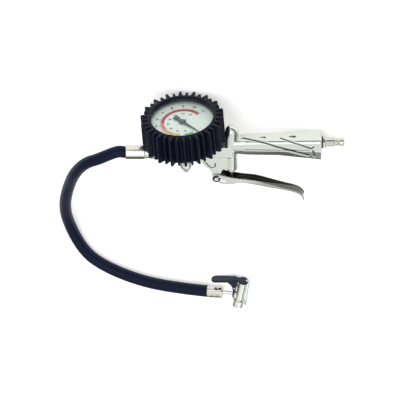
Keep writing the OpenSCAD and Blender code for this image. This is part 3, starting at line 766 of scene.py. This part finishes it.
@dataclass
class Studio:
    """The camera, the floor, the lights and the surroundings."""

    layout: Layout
    elevation: float = 38.0
    lens: float = 1000.0
    sensor: float = 36.0
    far: float = 20.0
    # width of the view and how far right and up of the gauge its middle lies, in metres
    span: float = 0.48
    offset: tuple[float, float] = (0.01848, -0.066)
    floor_half: float = 6.0
    floor_drop: float = 0.0004
    floor_glow: float = 0.42
    sky_strength: float = 1.08
    sky: Line = ((0.0, 0.60), (0.08, 0.12), (0.38, 0.05), (0.54, 0.90), (1.0, 1.0))
    lamps: tuple[tuple[str, Triple, float, float], ...] = (
        ("overhead", (0.1, 0.3, 1.5), 1.0, 3.0), ("dial_side", (-0.5, 1.4, 0.8), 0.8, 2.0),
        ("trigger_side", (0.5, -1.3, 0.9), 0.8, 1.0))

    @staticmethod
    def stand(obj: Piece, right: np.ndarray, back: np.ndarray, at: np.ndarray) -> None:
        """Put a camera or lamp somewhere, turned to face away from its back.

        Args:
            obj: the camera or lamp.
            right: its x axis.
            back: its z axis.
            at: its place in metres.
        """
        rows = np.column_stack([right, np.cross(back, right), back, at]).tolist()
        obj.matrix_world = Matrix([*rows, [0, 0, 0, 1]])

    def camera(self) -> None:
        """Set the camera, which looks down on the grip's plane from the dial's side."""
        e = math.radians(self.elevation)
        right, across, back = self.layout.grip.axes.T
        up = across * math.sin(e) + back * math.cos(e)
        rear = -across * math.cos(e) + back * math.sin(e)
        target = self.layout.tool.origin + right * self.offset[0] + up * self.offset[1]
        data = bpy.data.cameras.new("camera")
        data.lens, data.sensor_width, data.clip_end = self.lens, self.sensor, self.far
        distance = self.span * self.lens / self.sensor
        camera = new_object("camera", data)
        self.stand(camera, right, rear, target + rear * distance)
        bpy.context.scene.camera = camera

    def floor(self) -> None:
        """Lay a wide pale floor just under the object."""
        s, z = self.floor_half, -self.floor_drop
        mesh = bpy.data.meshes.new("floor")
        mesh.from_pydata([(-s, -s, z), (s, -s, z), (s, s, z), (-s, s, z)], [], [(0, 1, 2, 3)])
        g = Graph.of_material("floor_paper")
        cloud = g.noise(g.coords(), 0.004, 2.0)
        g.surface(Base_Color=g.mix(cloud, (0.93, 0.93, 0.93), (0.96, 0.96, 0.96)),
                  Roughness=0.9, Specular_IOR_Level=0.1, Emission_Color=(1, 1, 1, 1),
                  Emission_Strength=self.floor_glow)
        mesh.materials.append(g.owner)
        new_object("floor", mesh)

    def lights(self) -> None:
        """Hang the square soft lights, each of which faces the object's middle."""
        for name, place, size, power in self.lamps:
            data = bpy.data.lights.new(name, "AREA")
            data.energy, data.size = power, size
            back = np.array(place) / np.linalg.norm(place)
            side = np.cross(Z_AXIS if abs(back[2]) < 0.95 else Y_AXIS, back)
            self.stand(new_object(name, data), side / np.linalg.norm(side), back, place)

    def world(self) -> None:
        """Surround the object with a bright sky over a darker horizon, for the metals."""
        world = bpy.data.worlds.new("studio")
        bpy.context.scene.world = world
        g = Graph(world, "Background")
        height = g.split(g.node("ShaderNodeTexCoord", {}, (), "Generated"), "Z")
        stops = [(place, (grey, grey, grey, 1)) for place, grey in self.sky]
        g.surface(Color=g.node("ShaderNodeValToRGB", {"stops": stops}, [height]),
                  Strength=self.sky_strength)

    def build(self) -> None:
        """Make the camera, the floor, the lights and the surroundings."""
        self.camera()
        self.floor()
        self.lights()
        self.world()
        settings = bpy.context.scene.view_settings
        settings.view_transform, settings.look = "Standard", "None"


# ---------------------------------------------------------------- hose


@dataclass
class Hose:
    """The rubber hose and its two crimped ferrules."""

    shop: Workshop
    diameter: float = 14.4
    length: float = 0.466
    sides: int = 40
    port_z: float = -10.7
    hose_end: float = 50.0
    straight: tuple[float, ...] = (0, 11, 21.5, 32)
    ferrule_x: float = 47.5
    ferrule_r: float = 9.1
    ferrule_bore: float = 7.3
    ferrule_run: tuple[float, ...] = (0, 0.05, 0.4, 1.0, 22.3, 22.9, 23.25, 23.3)
    ferrule_size: tuple[float, ...] = (0.90, 0.94, 0.985, 1, 1, 0.985, 0.94, 0.90)
    tube_out: float = 22.6
    tube_stop: float = 24.6
    tube_angle: float = 16.0
    far_l: float = 18.2
    far_r: float = 7.6
    far_end: Line = ((7.0, 0.0), (7.35, 0.1), (7.55, 0.45))
    far_bore: Line = ((7.28, 18.2), (7.28, 2.0), (2.65, 2.0), (2.65, 0.0))
    crimps: tuple[float, ...] = (6.2, 12.6)
    crimp_depth: float = 0.55
    crimp_width: float = 1.5
    weave_rate: float = 1100.0
    weave_turns: int = 3
    # in metres, from where it leaves the port's line to where it meets the chuck's
    route: Line = (
        (-0.172, 0.006, 0.071), (-0.186, -0.003, 0.068), (-0.198, -0.016, 0.063),
        (-0.209, -0.034, 0.056), (-0.218, -0.055, 0.047), (-0.226, -0.078, 0.038),
        (-0.232, -0.101, 0.029), (-0.235, -0.124, 0.020), (-0.234, -0.146, 0.013),
        (-0.230, -0.166, 0.009), (-0.223, -0.184, 0.00732), (-0.213, -0.198, 0.00732),
        (-0.199, -0.209, 0.00732), (-0.182, -0.218, 0.00732), (-0.164, -0.225, 0.00732),
        (-0.146, -0.230, 0.00732), (-0.128, -0.233, 0.0074), (-0.110, -0.2346, 0.0075),
        (-0.092, -0.2354, 0.0079))

    def tube_way(self) -> np.ndarray:
        """The way of the chuck's tube out of the chuck, in the chuck's frame."""
        a = math.radians(self.tube_angle)
        return np.array([-math.cos(a), -math.sin(a), 0.0])

    def centreline(self) -> np.ndarray:
        """The route as a smooth curve: straight out of each ferrule, and on the table between.

        Returns:
            (n, 3) points in metres.
        """
        layout = self.shop.layout
        out = layout.grip.place([[-self.hose_end - d, 0, self.port_z] for d in self.straight])
        last = np.array([self.tube_out + self.far_l - 2, self.tube_out + 8, self.tube_stop])
        return smooth_path(np.vstack([out, self.route, layout.chuck.place(
            last[:, None] * self.tube_way())]), 10)

    def rubber(self) -> bpy.types.Material:
        """Black rubber with faint cloth marks along the hose, read from its own UV map.

        The marks are the product of two waves that wind round the hose in opposite ways.

        Returns:
            The material.
        """
        g = Graph.of_material("hose_rubber")
        uv = g.node("ShaderNodeTexCoord", {}, (), "UV")
        along = g.split(uv, "X") * self.weave_rate
        around = g.split(uv, "Y") * (self.weave_turns * math.tau)
        weave = (along + around).wave() * (along - around).wave()
        speck = g.noise(g.coords(), 1.6, 4.0)
        dust = g.noise(g.coords(), 0.05, 4.0)
        colour = g.mix((dust * 1.4 - 0.3).clamp(), (0.001, 0.004, 0.020), (0.003, 0.009, 0.036))
        g.surface(Base_Color=colour, Roughness=(0.36 + speck * 0.16).clamp(),
                  Specular_IOR_Level=0.14, Normal=g.bump(speck, 0.02, g.bump(weave, 0.03)))
        return g.owner

    def tube(self) -> tuple[Piece, np.ndarray]:
        """Sweep the hose's circle along its centreline.

        Each ring is centre + r (u cos a + v sin a), where u is level and square to the way and
        v is square to both. A UV map runs along and around it.

        Returns:
            The hose and its centreline.
        """
        line = self.centreline()
        way = np.gradient(line, axis=0)
        way /= np.linalg.norm(way, axis=1, keepdims=True)
        u = np.cross(Z_AXIS, way)
        u /= np.linalg.norm(u, axis=1, keepdims=True)
        v = np.cross(way, u)
        ring = polar(self.diameter / 2 * MM, np.linspace(0, math.tau, self.sides, endpoint=False))
        rings = line[:, None] + u[:, None] * ring[:, :1] + v[:, None] * ring[:, 1:]
        obj = Shell().grid(rings).build("hose_tube")
        run = np.concatenate([[0], np.cumsum(np.linalg.norm(np.diff(line, axis=0), axis=1))])
        LOG.info("hose centreline %.3f m", run[-1])
        loops = np.empty(len(obj.data.loops), int)
        obj.data.loops.foreach_get("vertex_index", loops)
        uv = np.stack([run[loops // self.sides], (loops % self.sides) / self.sides], -1)
        obj.data.uv_layers.new(name="along").data.foreach_set("uv", uv.ravel())
        return obj, line

    def front_ferrule(self) -> Piece:
        """An eight-sided crimped sleeve: a rounded octagon, drawn in at both ends.

        Returns:
            The sleeve.
        """
        frame = self.shop.layout.grip.along(np.array([-self.ferrule_x, 0, self.port_z]),
                                            -X_AXIS, Z_AXIS)
        corners = np.radians(np.arange(8) * 45.0 + 6.0)
        octagon = fillet(polar(self.ferrule_r, corners), 1.3, 4, True)
        outer = octagon * np.array(self.ferrule_size)[:, None, None]
        turn = np.linspace(0, math.tau, len(octagon), endpoint=False) + corners[0] - 0.2
        bore = np.broadcast_to(polar(self.ferrule_bore, turn), (2, len(octagon), 2))
        heights = [*self.ferrule_run, self.ferrule_run[-1], 0.0]
        rings = lift(np.concatenate([outer, bore]), heights)
        return Shell().grid(frame.place(rings), True).build("front_sleeve")

    def far_ferrule(self) -> Piece:
        """A round sleeve with rows of crimp dents.

        The dents take depth * exp(-((z - row) / width)^2) * |cos(2a + 0.5)|^5 off its radius.

        Returns:
            The sleeve.
        """
        way = self.tube_way()
        frame = self.shop.layout.chuck.along(self.tube_out * way, way, Z_AXIS)
        run = np.linspace(0.7, self.far_l - 0.7, 34)
        angle = np.linspace(0, math.tau, 96, endpoint=False)
        row = sum(np.exp(-((run - c) / self.crimp_width) ** 2) for c in self.crimps)
        dent = self.crimp_depth * row[:, None] * np.abs(np.cos(2 * angle + 0.5)) ** 5
        first, bore = np.array(self.far_end), np.array(self.far_bore)
        last = first[::-1] * [1, -1] + [0, self.far_l]
        profile = np.vstack([first, np.stack([np.full_like(run, self.far_r), run], -1), last,
                             bore])
        radius = np.repeat(profile[:, :1], len(angle), 1)
        radius[len(first):len(first) + len(run)] -= dent
        rings = lift(polar(radius, angle), profile[:, 1])
        return Shell().grid(frame.place(rings), True).build("far_sleeve")

    def build(self, fittings: list[Piece]) -> None:
        """Args:
            fittings: the chuck's pieces at the hose's end; not used.
        """
        shop = self.shop
        sleeve = shop.fit(self.front_ferrule(), NICKEL, "gun", "ferrule_nickel", "front_ferrule")
        end = shop.fit(self.far_ferrule(), NICKEL, "gun", "ferrule_nickel", "far_ferrule")
        tube, line = self.tube()
        shop.fit(tube, self.rubber(), "gun", "hose_rubber", "hose")
        self.diameter * MM


# ---------------------------------------------------------------- gauge


@dataclass
class Gauge:
    """The dial gauge and its rubber boot."""

    shop: Workshop
    root_r: float = 41.0
    tip: float = 1.3
    ribs: int = 18
    phase: float = 2.5
    # height, foot and angle of the tall and the short rib of a pair
    rib_pair: Line = ((9.5, 2.7, 0.0), (7.1, 2.0, 10.0))
    back: float = 4.4
    front: float = 44.0
    window: float = 37.6
    case_r: float = 39.6
    dial_z: float = 34.1
    zero: float = -47.0
    sweep: float = -274.0
    divisions: int = 11
    # under and upper side of the print over the dial
    print_z: tuple[float, float] = (0.01, 0.06)
    band_radii: tuple[float, float] = (22.1, 25.9)
    # inner radius, outer radius and half width in degrees
    major: Triple = (26.3, 28.9, 0.6)
    minor: Triple = (26.3, 27.9, 0.3)
    inner_major: Triple = (20.6, 22.0, 0.25)
    inner_minor: Triple = (21.4, 22.0, 0.25)
    inner_steps: int = 32
    ring_line: tuple[float, float] = (26.1, 26.35)
    bands: tuple[tuple[str, Triple, float, float], ...] = (
        ("green_band", (0.10, 0.52, 0.16), -57, -84),
        ("lime_band", (0.55, 0.60, 0.08), -96, -118),
        ("amber_band", (0.85, 0.42, 0.05), -118, -152),
        ("coral_band", (0.80, 0.20, 0.10), -152, -182),
        ("crimson_band", (0.50, 0.004, 0.045), -182, -322))
    scale_ink: Triple = (0.035, 0.06, 0.055)
    # radius, height, value of a step, steps that carry a figure, steps in the sweep
    figure_rows: tuple[tuple[float, float, int, range, float], ...] = (
        (31.6, 4.7, 1, range(12), 11.0), (17.2, 3.2, 20, range(1, 9), 8.6))
    spacer_split: float = 2.6
    blade: Line = ((-14.0, 2.3), (-12.6, 3.5), (-10.2, 3.5), (-5.0, 2.0), (4.0, 1.5), (30.3, 0.3))
    blade_tip: float = 31.0
    hub: Line = ((0.05, 1.6), (3.2, 1.55), (4.2, 1.1), (4.2, 0.0), (0.05, 0.0))

    def rib_line(self) -> tuple[np.ndarray, np.ndarray]:
        """Angle and height over the root of the boot's outline, all the way round.

        Each rib has a straight flank from its foot and a round tip, where the offset is
        tip sin a and the height is h - tip (1 - cos a).

        Returns:
            (angles in radians, heights).
        """
        a = np.radians([80.0, 55.0, 28.0, 0.0])
        angles, heights = [], []
        for tall, foot, middle in self.rib_pair:
            off = np.concatenate([[foot + 0.9, foot + 0.25, foot - 0.1], self.tip * np.sin(a)])
            up = np.concatenate([[0.0, 0.12, 0.6], tall - self.tip * (1 - np.cos(a))])
            turn = np.degrees(off / (self.root_r + up))
            angles += [middle - turn, middle + turn[-2::-1]]
            heights += [up, up[-2::-1]]
        steps = 90 + self.phase + 360.0 / self.ribs * np.arange(self.ribs)[:, None]
        return (np.radians(steps + np.concatenate(angles)).ravel(),
                np.tile(np.concatenate(heights), self.ribs))

    def boot(self) -> Piece:
        """The boot as one closed grid: its outline round, its wall's profile across.

        A profile point (share of the rib, radius, height) puts the surface at
        radius + share * rib height.

        Returns:
            The boot.
        """
        angle, rib = self.rib_line()
        f, b, w, r = self.front, self.back, self.window, self.root_r
        profile = np.array([
            [0, w, f - 3.0], [0, w, f - 1.0], [0, w + 0.25, f - 0.35], [0, w + 0.8, f],
            [0, w + 1.5, f], [0, w + 1.9, f - 0.45], [0, w + 2.3, f - 0.45],
            [0, w + 2.7, f - 0.05], [0, r - 0.2, f - 0.1], [0.10, r, f - 0.25],
            [0.6, r, f - 0.5], [0.88, r, f - 0.65], [0.96, r, f - 1.0], [1, r, f - 1.8],
            [1, r, f - 12], [1, r, b + 12], [1, r, b + 1.8], [0.96, r, b + 0.9],
            [0.86, r, b + 0.3], [0.5, r, b], [0, r - 0.5, b], [0, 26.6, b], [0, 26, b + 0.5],
            [0, 26, b + 1.9], [0, 26.6, b + 2.4], [0, self.case_r, b + 2.4],
            [0, self.case_r, f - 3.0]])
        rings = lift(polar(profile[:, 1:2] + profile[:, :1] * rib, angle), profile[:, 2])
        return Shell().grid(self.shop.layout.tool.place(rings), True).build("ribbed_boot", 50)

    def arc(self, r0: float, r1: float, a0: float, a1: float) -> np.ndarray:
        """A thin printed band on the dial.

        Args:
            r0, r1: its radii.
            a0, a1: its angles in degrees.
        Returns:
            A grid of four-sided rings for a shell, in metres.
        """
        a = np.radians(np.linspace(a0, a1, max(2, int(abs(a1 - a0) / 2) + 1)))[:, None]
        r = np.array([[r0, r1, r1, r0]])
        z = self.dial_z + np.repeat(self.print_z, 2)[None]
        return self.shop.layout.tool.place(np.stack([r * np.cos(a), r * np.sin(a), z + 0 * a],
                                                    -1))

    def figure(self, text: str, height: float) -> tuple[np.ndarray, list[list[int]]]:
        """One plain printed figure, centred on the origin.

        Args:
            text: its digits.
            height: its height in millimetres.
        Returns:
            (points, faces).
        """
        curve = bpy.data.curves.new("figure", "FONT")
        curve.body, curve.size = text, height
        low, high = self.print_z
        curve.extrude, curve.offset, curve.resolution_u = (high - low) / 2, 0.045 * height, 2
        curve.align_x, curve.align_y = "CENTER", "CENTER"
        obj = new_object("figure", curve)
        mesh = final_mesh(obj)
        shape = mesh_points(mesh), [list(p.vertices) for p in mesh.polygons]
        bpy.data.objects.remove(obj)
        bpy.data.meshes.remove(mesh)
        bpy.data.curves.remove(curve)
        return shape

    def figures(self) -> Piece:
        """Plain figures round the dial, large outside and small inside.

        Returns:
            One mesh of all figures.
        """
        shell = Shell()
        for radius, height, value, steps, span in self.figure_rows:
            for k in steps:
                a = math.radians(self.zero + self.sweep * k / span)
                flat, faces = self.figure(str(k * value), height)
                z = self.dial_z + sum(self.print_z) / 2
                at = np.array([radius * math.cos(a), radius * math.sin(a), z])
                shell.add(self.shop.layout.tool.place(flat + at), faces)
        return shell.build("dial_figures", 30)

    def marks(self) -> Piece:
        """The outer scale's marks with its ring line, and the inner scale's marks.

        Returns:
            One mesh of all marks.
        """
        shell = Shell()
        for steps, every, major, minor in (
                (self.divisions * 5, 5, self.major, self.minor),
                (self.inner_steps, 4, self.inner_major, self.inner_minor)):
            for k in range(steps + 1):
                a = self.zero + self.sweep * k / steps
                start, end, half = minor if k % every else major
                shell.grid(self.arc(start, end, a - half, a + half))
        shell.grid(self.arc(*self.ring_line, self.zero, self.zero + self.sweep))
        return shell.build("scale_marks")

    def print_scale(self) -> None:
        """Print the coloured bands, the marks and the figures on the dial."""

        def ink(name: str, colour: Triple) -> Finish:
            """A printing ink."""
            return Finish(name, colour, 0.45, 0.0, Texture.SMOOTH, 0.001, 0.06)

        for name, colour, a0, a1 in self.bands:
            band = Shell().grid(self.arc(*self.band_radii, a0, a1)).build(name)
            self.shop.fit(band, ink(name, colour), "gun", "dial_white")
        black = ink("scale_black", self.scale_ink)
        self.shop.fit(self.marks(), black, "gun", "dial_white")
        self.shop.fit(self.figures(), black, "gun", "dial_white")

    def needle(self) -> Piece:
        """The pointer: a tapered blade with a broad tail on a domed hub.

        Returns:
            The pointer.
        """
        a = math.radians(self.zero)
        frame = self.shop.layout.tool.along(np.array([0, 0, self.dial_z + 1.0]), Z_AXIS,
                                            np.array([math.cos(a), math.sin(a), 0.0]))
        half = np.array(self.blade)
        outline = np.vstack([half, [self.blade_tip, 0.0], half[::-1] * [1, -1]])
        return (Shell().plate(frame, fillet(outline, 0.7, 4, True), 0.0, 0.9, 0.15)
                .lathe(frame, fillet(self.hub, 0.4, 4), 48).build("needle_blade"))

    def spacer(self) -> bpy.types.Material:
        """Plastic, grey-green below as a painted reflection of the dial, black above, divided by
        height in the tool's frame.

        Returns:
            The material.
        """
        g = Graph.of_material("spacer_plastic")
        height = g.split(g.coords(self.shop.layout.tool), "Z")
        share = ((height - (self.dial_z + self.spacer_split)) * 4.0).clamp()
        fine = g.noise(g.coords(), 3.0, 2.0)
        # painted reflection: the grey-green stands for the dial seen in the wall
        g.surface(Base_Color=g.mix(share, (0.17, 0.24, 0.22), (0.008, 0.011, 0.016)),
                  Roughness=0.35 + 0.1 * fine, Normal=g.bump(fine, 0.01))
        return g.owner

    def glass(self) -> bpy.types.Material:
        """Clear, slightly green, with a faint haze that lets the dial through.

        Returns:
            The material.
        """
        g = Graph.of_material("lens_clear")
        haze = g.noise(g.coords(), 0.03, 2.0)
        g.surface(Base_Color=(0.9, 1.0, 0.96, 1), Roughness=0.03, Alpha=0.02 + 0.02 * haze,
                  Specular_IOR_Level=0.6)
        return g.owner

    def build(self) -> None:
        """Make the boot, the printed scale, the pointer and the lens."""
        shop = self.shop
        shop.paint_nodes(DIAL, "dial_plate")
        shop.paint_nodes(CASE, "gauge_case", "bezel_ring")
        shop.paint_nodes(BRASS, "gauge_socket", "bourdon_tube", "tube_tip", "link_bar",
                         "movement_frame", "sector_gear", "hairspring")
        shop.paint_nodes(STEEL, "pinion", "dial_screws", "zero_stop", "case_screws")
        dress(shop.nodes["spacer_ring"], self.spacer())
        dress(shop.nodes["lens"], self.glass())
        shop.fit(self.boot(), BOOT, "gun", "boot_rubber", "rubber_boot")
        self.print_scale()
        shop.fit(self.needle(), NEEDLE, "needle", "pointer_paint", "pointer")


# ---------------------------------------------------------------- grip


@dataclass(frozen=True)
class Groove:
    """A groove moulded into a surface along a line of corners."""

    line: Line
    width: float
    depth: float

    def sink(self, places: np.ndarray) -> np.ndarray:
        """How deep it is: depth * exp(-(d / width)^2) at a distance d off its line.

        Args:
            places: (n, 2) places on the surface.
        Returns:
            n depths.
        """
        corners = np.array(self.line, float)
        a, leg = corners[:-1], np.diff(corners, axis=0)
        off = places[:, None] - a
        t = np.clip(np.einsum("nmk,mk->nm", off, leg) / (leg ** 2).sum(1), 0, 1)
        d = np.linalg.norm(off - t[..., None] * leg, axis=2).min(1)
        return self.depth * np.exp(-(d / self.width) ** 2)


@dataclass
class Grip:
    """The die casting with its inlet plug, trigger and bleed valve."""

    shop: Workshop
    voxel: float = 0.62
    rounds: int = 9
    # the grooves lie along the grip and across its flank, outside its core, and on the dial's
    # side past flank_y only; one of depth groove_full is fully darkened with painted shade
    slope: float = 38.0
    axis_z: float = 1.0
    core_r: float = 8.0
    grip_x: tuple[float, float] = (64, 161)
    flank_y: float = 10.5
    groove_full: float = 0.7
    grooves: tuple[Groove, ...] = (
        Groove(((68, 9.2), (97, 2.4), (110, -2.5), (148, -12.4)), 1.0, 0.9),
        Groove(((115, 8.4), (152, -5.0), (155, -2.5)), 0.9, 0.8),
        Groove(((90, 11.0), (96, 10.0)), 1.5, 1.1),
        Groove(((126, 11.4), (132, 10.6)), 1.5, 1.1),
        Groove(((154, -7.5), (155.5, -13.5)), 0.8, 1.0),
        Groove(((72, -6.2), (112, -6.7), (150, -6.9)), 0.7, 0.5))
    # the hook lies on both sides of the trigger's lug; one of depth hook_full is fully darkened
    # with painted shade
    lug_x: tuple[float, float] = (16, 50)
    lug_y: float = 4.8
    lug_z: float = -14.0
    hook_full: float = 0.6
    hook: Groove = Groove(((24, -21), (30, -29), (33.5, -31), (37, -28.5), (36.5, -24)), 0.7, 0.7)
    end: float = 164.3
    inlet_z: float = 4.6
    nut_r: float = 8.3
    nut_run: tuple[float, ...] = (0.0, 0.1, 0.9, 3.7, 4.5, 4.6)
    nut_size: tuple[float, ...] = (0.90, 0.93, 1, 1, 0.93, 0.90)
    nose: Line = (
        (3.0, -10.0), (6.3, -10.0), (6.3, 0.05), (5.65, 0.1), (5.65, 14.6), (5.3, 14.9),
        (4.3, 15.2), (4.3, 16.8), (4.85, 17.25), (4.85, 18.4), (3.95, 19.4), (3.95, 20.6),
        (4.85, 21.6), (4.85, 25.9), (4.0, 26.8), (3.0, 26.8))
    pivot: tuple[float, float] = (38.2, -45.3)
    half_w: float = 7.3
    sheet: float = 1.3
    bend_steps: int = 5
    bends: tuple[float, ...] = (0.5, 1.8, 1.8, 0.5, 0.5, 0.7, 0.7, 0.5)
    flats: tuple[float, ...] = (0.08, 0.5, 0.92)
    sole: Line = ((42, -53.4), (50, -54.6), (57, -54.9), (62, -53.4), (70, -52.8), (83, -55.3),
                  (104, -60.2), (121, -63.8), (134, -68), (140.4, -73), (142.2, -78))
    rim: Line = ((44, -41.4), (52, -43.6), (60, -45.6), (66, -46.8), (72, -47.8), (86, -49.8),
                 (102, -55), (117, -60.2), (134.6, -65.9), (142.6, -72.4), (144.2, -78))
    ear_r: float = 5.4
    ear_foot: Line = ((44.5, -53.0), (50, -54.0), (50, -45.0), (45.5, -41.8))
    ear_proud: float = 0.04
    # painted shade: the finger's end is darkened by this share, from this x on, over this length
    painted_tip_shade: Triple = (0.45, 66, 30)
    cone: Line = (
        (6.1, -15.05), (10.1, -15.05), (10.6, -15.6), (10.6, -17.0), (10.3, -18.2),
        (9.4, -26.6), (9.25, -28.4), (8.8, -30.6), (7.0, -34.6), (5.2, -38.1), (4.9, -38.7),
        (3.1, -38.7), (2.8, -38.3), (2.8, -34.0), (3.7, -31.0), (3.7, -25.2), (6.1, -25.2))

    def casting(self) -> Piece:
        """The casting with rounded edges and the swept lines that are moulded in its grip.

        The flank is z cos(slope) - |y| sin(slope), the same on both sides. Each line sinks the
        surface towards the grip's own axis, and the hook sinks the lug's two sides. Each sunk
        place is also darkened by its depth, as painted shade.

        Returns:
            The casting.
        """
        obj = soft_copy(self.shop.nodes["body_casting"], "cast_body", self.voxel, self.rounds)
        grip = self.shop.layout.grip
        pts = grip.read(mesh_points(obj.data))
        slope = math.radians(self.slope)
        x, y, z = pts.T.copy()
        flank = z * math.cos(slope) - np.abs(y) * math.sin(slope)
        sink = sum(g.sink(np.stack([x, flank], -1)) for g in self.grooves)
        out = np.stack([0 * x, y, z - self.axis_z], -1)
        far = np.linalg.norm(out, axis=1)
        keep = ((x > self.grip_x[0]) & (x < self.grip_x[1]) & (far > self.core_r)
                & ((y < 0) | (y > self.flank_y)))
        pts[keep] -= (out * (sink / np.maximum(far, 1e-6))[:, None])[keep]
        # painted shade: each groove is darkened by its depth
        marks = np.where(keep, sink / self.groove_full, 0.0)
        lug = ((x > self.lug_x[0]) & (x < self.lug_x[1]) & (z < self.lug_z)
               & (np.abs(y) > self.lug_y))
        hook = self.hook.sink(np.stack([x, z], -1)[lug])
        pts[lug, 1] -= np.sign(y[lug]) * hook
        # painted shade: the hook is darkened by its depth
        marks[lug] = hook / self.hook_full
        obj.data.vertices.foreach_set("co", grip.place(pts).ravel())
        obj.data.update()
        set_painted_shade(obj, np.clip(marks, 0, 1) ** 2)
        return obj

    def plug(self) -> Piece:
        """The inlet plug: a chamfered hexagon, a stepped nose with a groove, and a bore.

        Returns:
            The plug.
        """
        frame = self.shop.layout.grip.along(np.array([self.end + 0.8, 0, self.inlet_z]),
                                            X_AXIS, Z_AXIS)
        hexagon = fillet(polar(self.nut_r, np.radians(np.arange(6) * 60.0)), 0.5, 3, True)
        nut = lift(hexagon * np.array(self.nut_size)[:, None, None], self.nut_run)
        return (Shell().grid(frame.place(nut))
                .lathe(frame, fillet(self.nose, 0.22, 3, True), 64, True).build("plug_turned"))

    def section(self, depth: np.ndarray) -> np.ndarray:
        """The trigger's rounded outline at each station: a U of sheet of that depth.

        Its eight corners run down the outer wall, along the sole, up the other wall and back
        inside. Each flat between two bends carries a few points of its own.

        Args:
            depth: from sole to rim at each of n stations.
        Returns:
            (n, points round, 2) places across the channel and up from the sole.
        """
        w, t = self.half_w, self.sheet
        across = np.array([-w, -w, w, w, w - t, w - t, t - w, t - w])
        share = np.array([1, 0, 0, 1, 1, 0, 0, 1])
        floor = np.array([0, 0, 0, 0, 0, t, t, 0])
        corners = np.stack(np.broadcast_arrays(across, share * depth[:, None] + floor), -1)
        bends = fillet(corners, self.bends, self.bend_steps, True, 0.45)
        bends = bends.reshape(len(depth), len(across), self.bend_steps, 2)
        after = np.roll(bends[:, :, :1], -1, 1)
        part = np.array(self.flats)[:, None]
        flats = bends[:, :, -1:] * (1 - part) + after * part
        return np.concatenate([bends, flats], 2).reshape(len(depth), -1, 2)

    def trigger(self) -> Piece:
        """The pressed channel: a U of sheet carried between its sole line and its rim line.

        At each station the section stands on the sole and its walls end at the rim. Two round
        ears carry the pivot pin. The inside and the finger's end are darkened as painted shade.

        Returns:
            The trigger.
        """
        grip = self.shop.layout.grip
        sole, rim = smooth_path(self.sole, 8), smooth_path(self.rim, 8)
        depth = np.linalg.norm(rim - sole, axis=1)
        up = (rim - sole) / depth[:, None]
        ring = self.section(depth)
        side_on = sole[:, None] + up[:, None] * ring[..., 1:]
        shell = Shell().grid(grip.place(np.stack([side_on[..., 0], ring[..., 0],
                                                  side_on[..., 1]], -1)))
        round_end = polar(self.ear_r, np.radians(np.linspace(80, 285, 22))) + self.pivot
        outline = np.vstack([round_end, self.ear_foot])
        half = self.sheet / 2 + self.ear_proud
        for side in (-1, 1):
            wall = np.array([0, side * (self.half_w - self.sheet / 2), 0])
            shell.plate(Frame(grip.place(wall), grip.axes @ np.array([X_AXIS, -Z_AXIS, Y_AXIS])),
                        outline, -half, half, 0.3)
        obj = shell.build("trigger_pressing", 40)
        corner = self.bend_steps + len(self.flats)
        turning = np.array([0, 0, 0.5, 1, 1, 1, 1, 1])
        # painted shade: the channel's inside is darkened
        inside = np.concatenate([np.zeros(4 * corner), turning, np.ones(2 * corner), 1 - turning])
        # painted shade: the finger's end grows darker towards its tip
        share, start, length = self.painted_tip_shade
        painted_tip_shade = share * np.clip((sole[:, 0] - start) / length, 0, 1)
        set_painted_shade(obj, np.maximum(inside, painted_tip_shade[:, None]).ravel())
        return obj

    def build(self) -> None:
        """Make the casting and what is fitted to it."""
        shop = self.shop
        bonnet = Shell().lathe(shop.layout.tool, fillet(self.cone, 0.35, 4, True), 72, True)
        shop.fit(self.casting(), CASTING, "gun", "cast_alloy", "body_casting")
        shop.fit(self.plug(), NICKEL, "gun", "plug_steel", "inlet_plug")
        shop.fit(self.trigger(), PRESSING, "trigger", "trigger_chrome", "trigger_lever")
        shop.fit(bonnet.build("bonnet_turned"), SATIN, "gun", "bonnet_chrome", "bleed_bonnet")
        shop.paint_nodes(FIBRE, "inlet_washer")
        shop.paint_nodes(BRONZE, "inlet_filter")
        shop.paint_nodes(BRASS, "valve_seat")
        shop.paint_nodes(NICKEL, "gland_nut", "hose_tail")
        shop.paint_nodes(STEEL, "valve_stem", "pivot_pin", "bleed_button")
        shop.paint_nodes(SEAL, "valve_rubber", "stem_seal", "bleed_rubber")
        shop.paint_nodes(SPRING, "valve_spring", "bleed_spring")
        shop.paint_nodes(BLACK_OXIDE, "pivot_clip")


# ---------------------------------------------------------------- chuck


@dataclass
class Chuck:
    """The clip-on chuck at the hose's far end."""

    shop: Workshop
    voxel: float = 0.30
    metal_rounds: int = 3
    clip_rounds: int = 5

    def build(self) -> list[Piece]:
        """Round the chuck's pieces and dress them.

        Returns:
            The rounded pieces.
        """
        shop = self.shop

        def soft(node: str, name: str, rounds: int, *fit: object) -> Piece:
            """Round one node and fit it."""
            return shop.fit(soft_copy(shop.nodes[node], name, self.voxel, rounds), *fit, node)

        rounded = [
            soft("chuck_body", "chuck_barrel", self.metal_rounds, SATIN, "gun", "chuck_metal"),
            soft("chuck_collar", "chuck_jaw", self.metal_rounds, SATIN, "gun", "chuck_metal"),
            soft("chuck_lever", "thumb_clip", self.clip_rounds, CLIP_PLASTIC, "clip_lever",
                 "chuck_lever_plastic")]
        shop.paint_nodes(CHROME, "chuck_tube")
        shop.paint_nodes(SEAL, "chuck_seal")
        shop.paint_nodes(BRASS, "depressor")
        shop.paint_nodes(SPRING, "chuck_claw", "chuck_spring")
        shop.paint_nodes(STEEL, "chuck_pin")
        return rounded


# ---------------------------------------------------------------- main


def main() -> None:
    """Build the whole object round the CAD frame."""
    logging.basicConfig(level=logging.INFO, format="%(name)s: %(message)s")
    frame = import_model()
    layout = Layout.from_joints(frame["joints"])
    shop = Workshop(layout, frame["nodes"])
    Hose(shop).build(Chuck(shop).build())
    Gauge(shop).build()
    Grip(shop).build()
    Studio(layout).build()


if __name__ == "__main__":
    main()
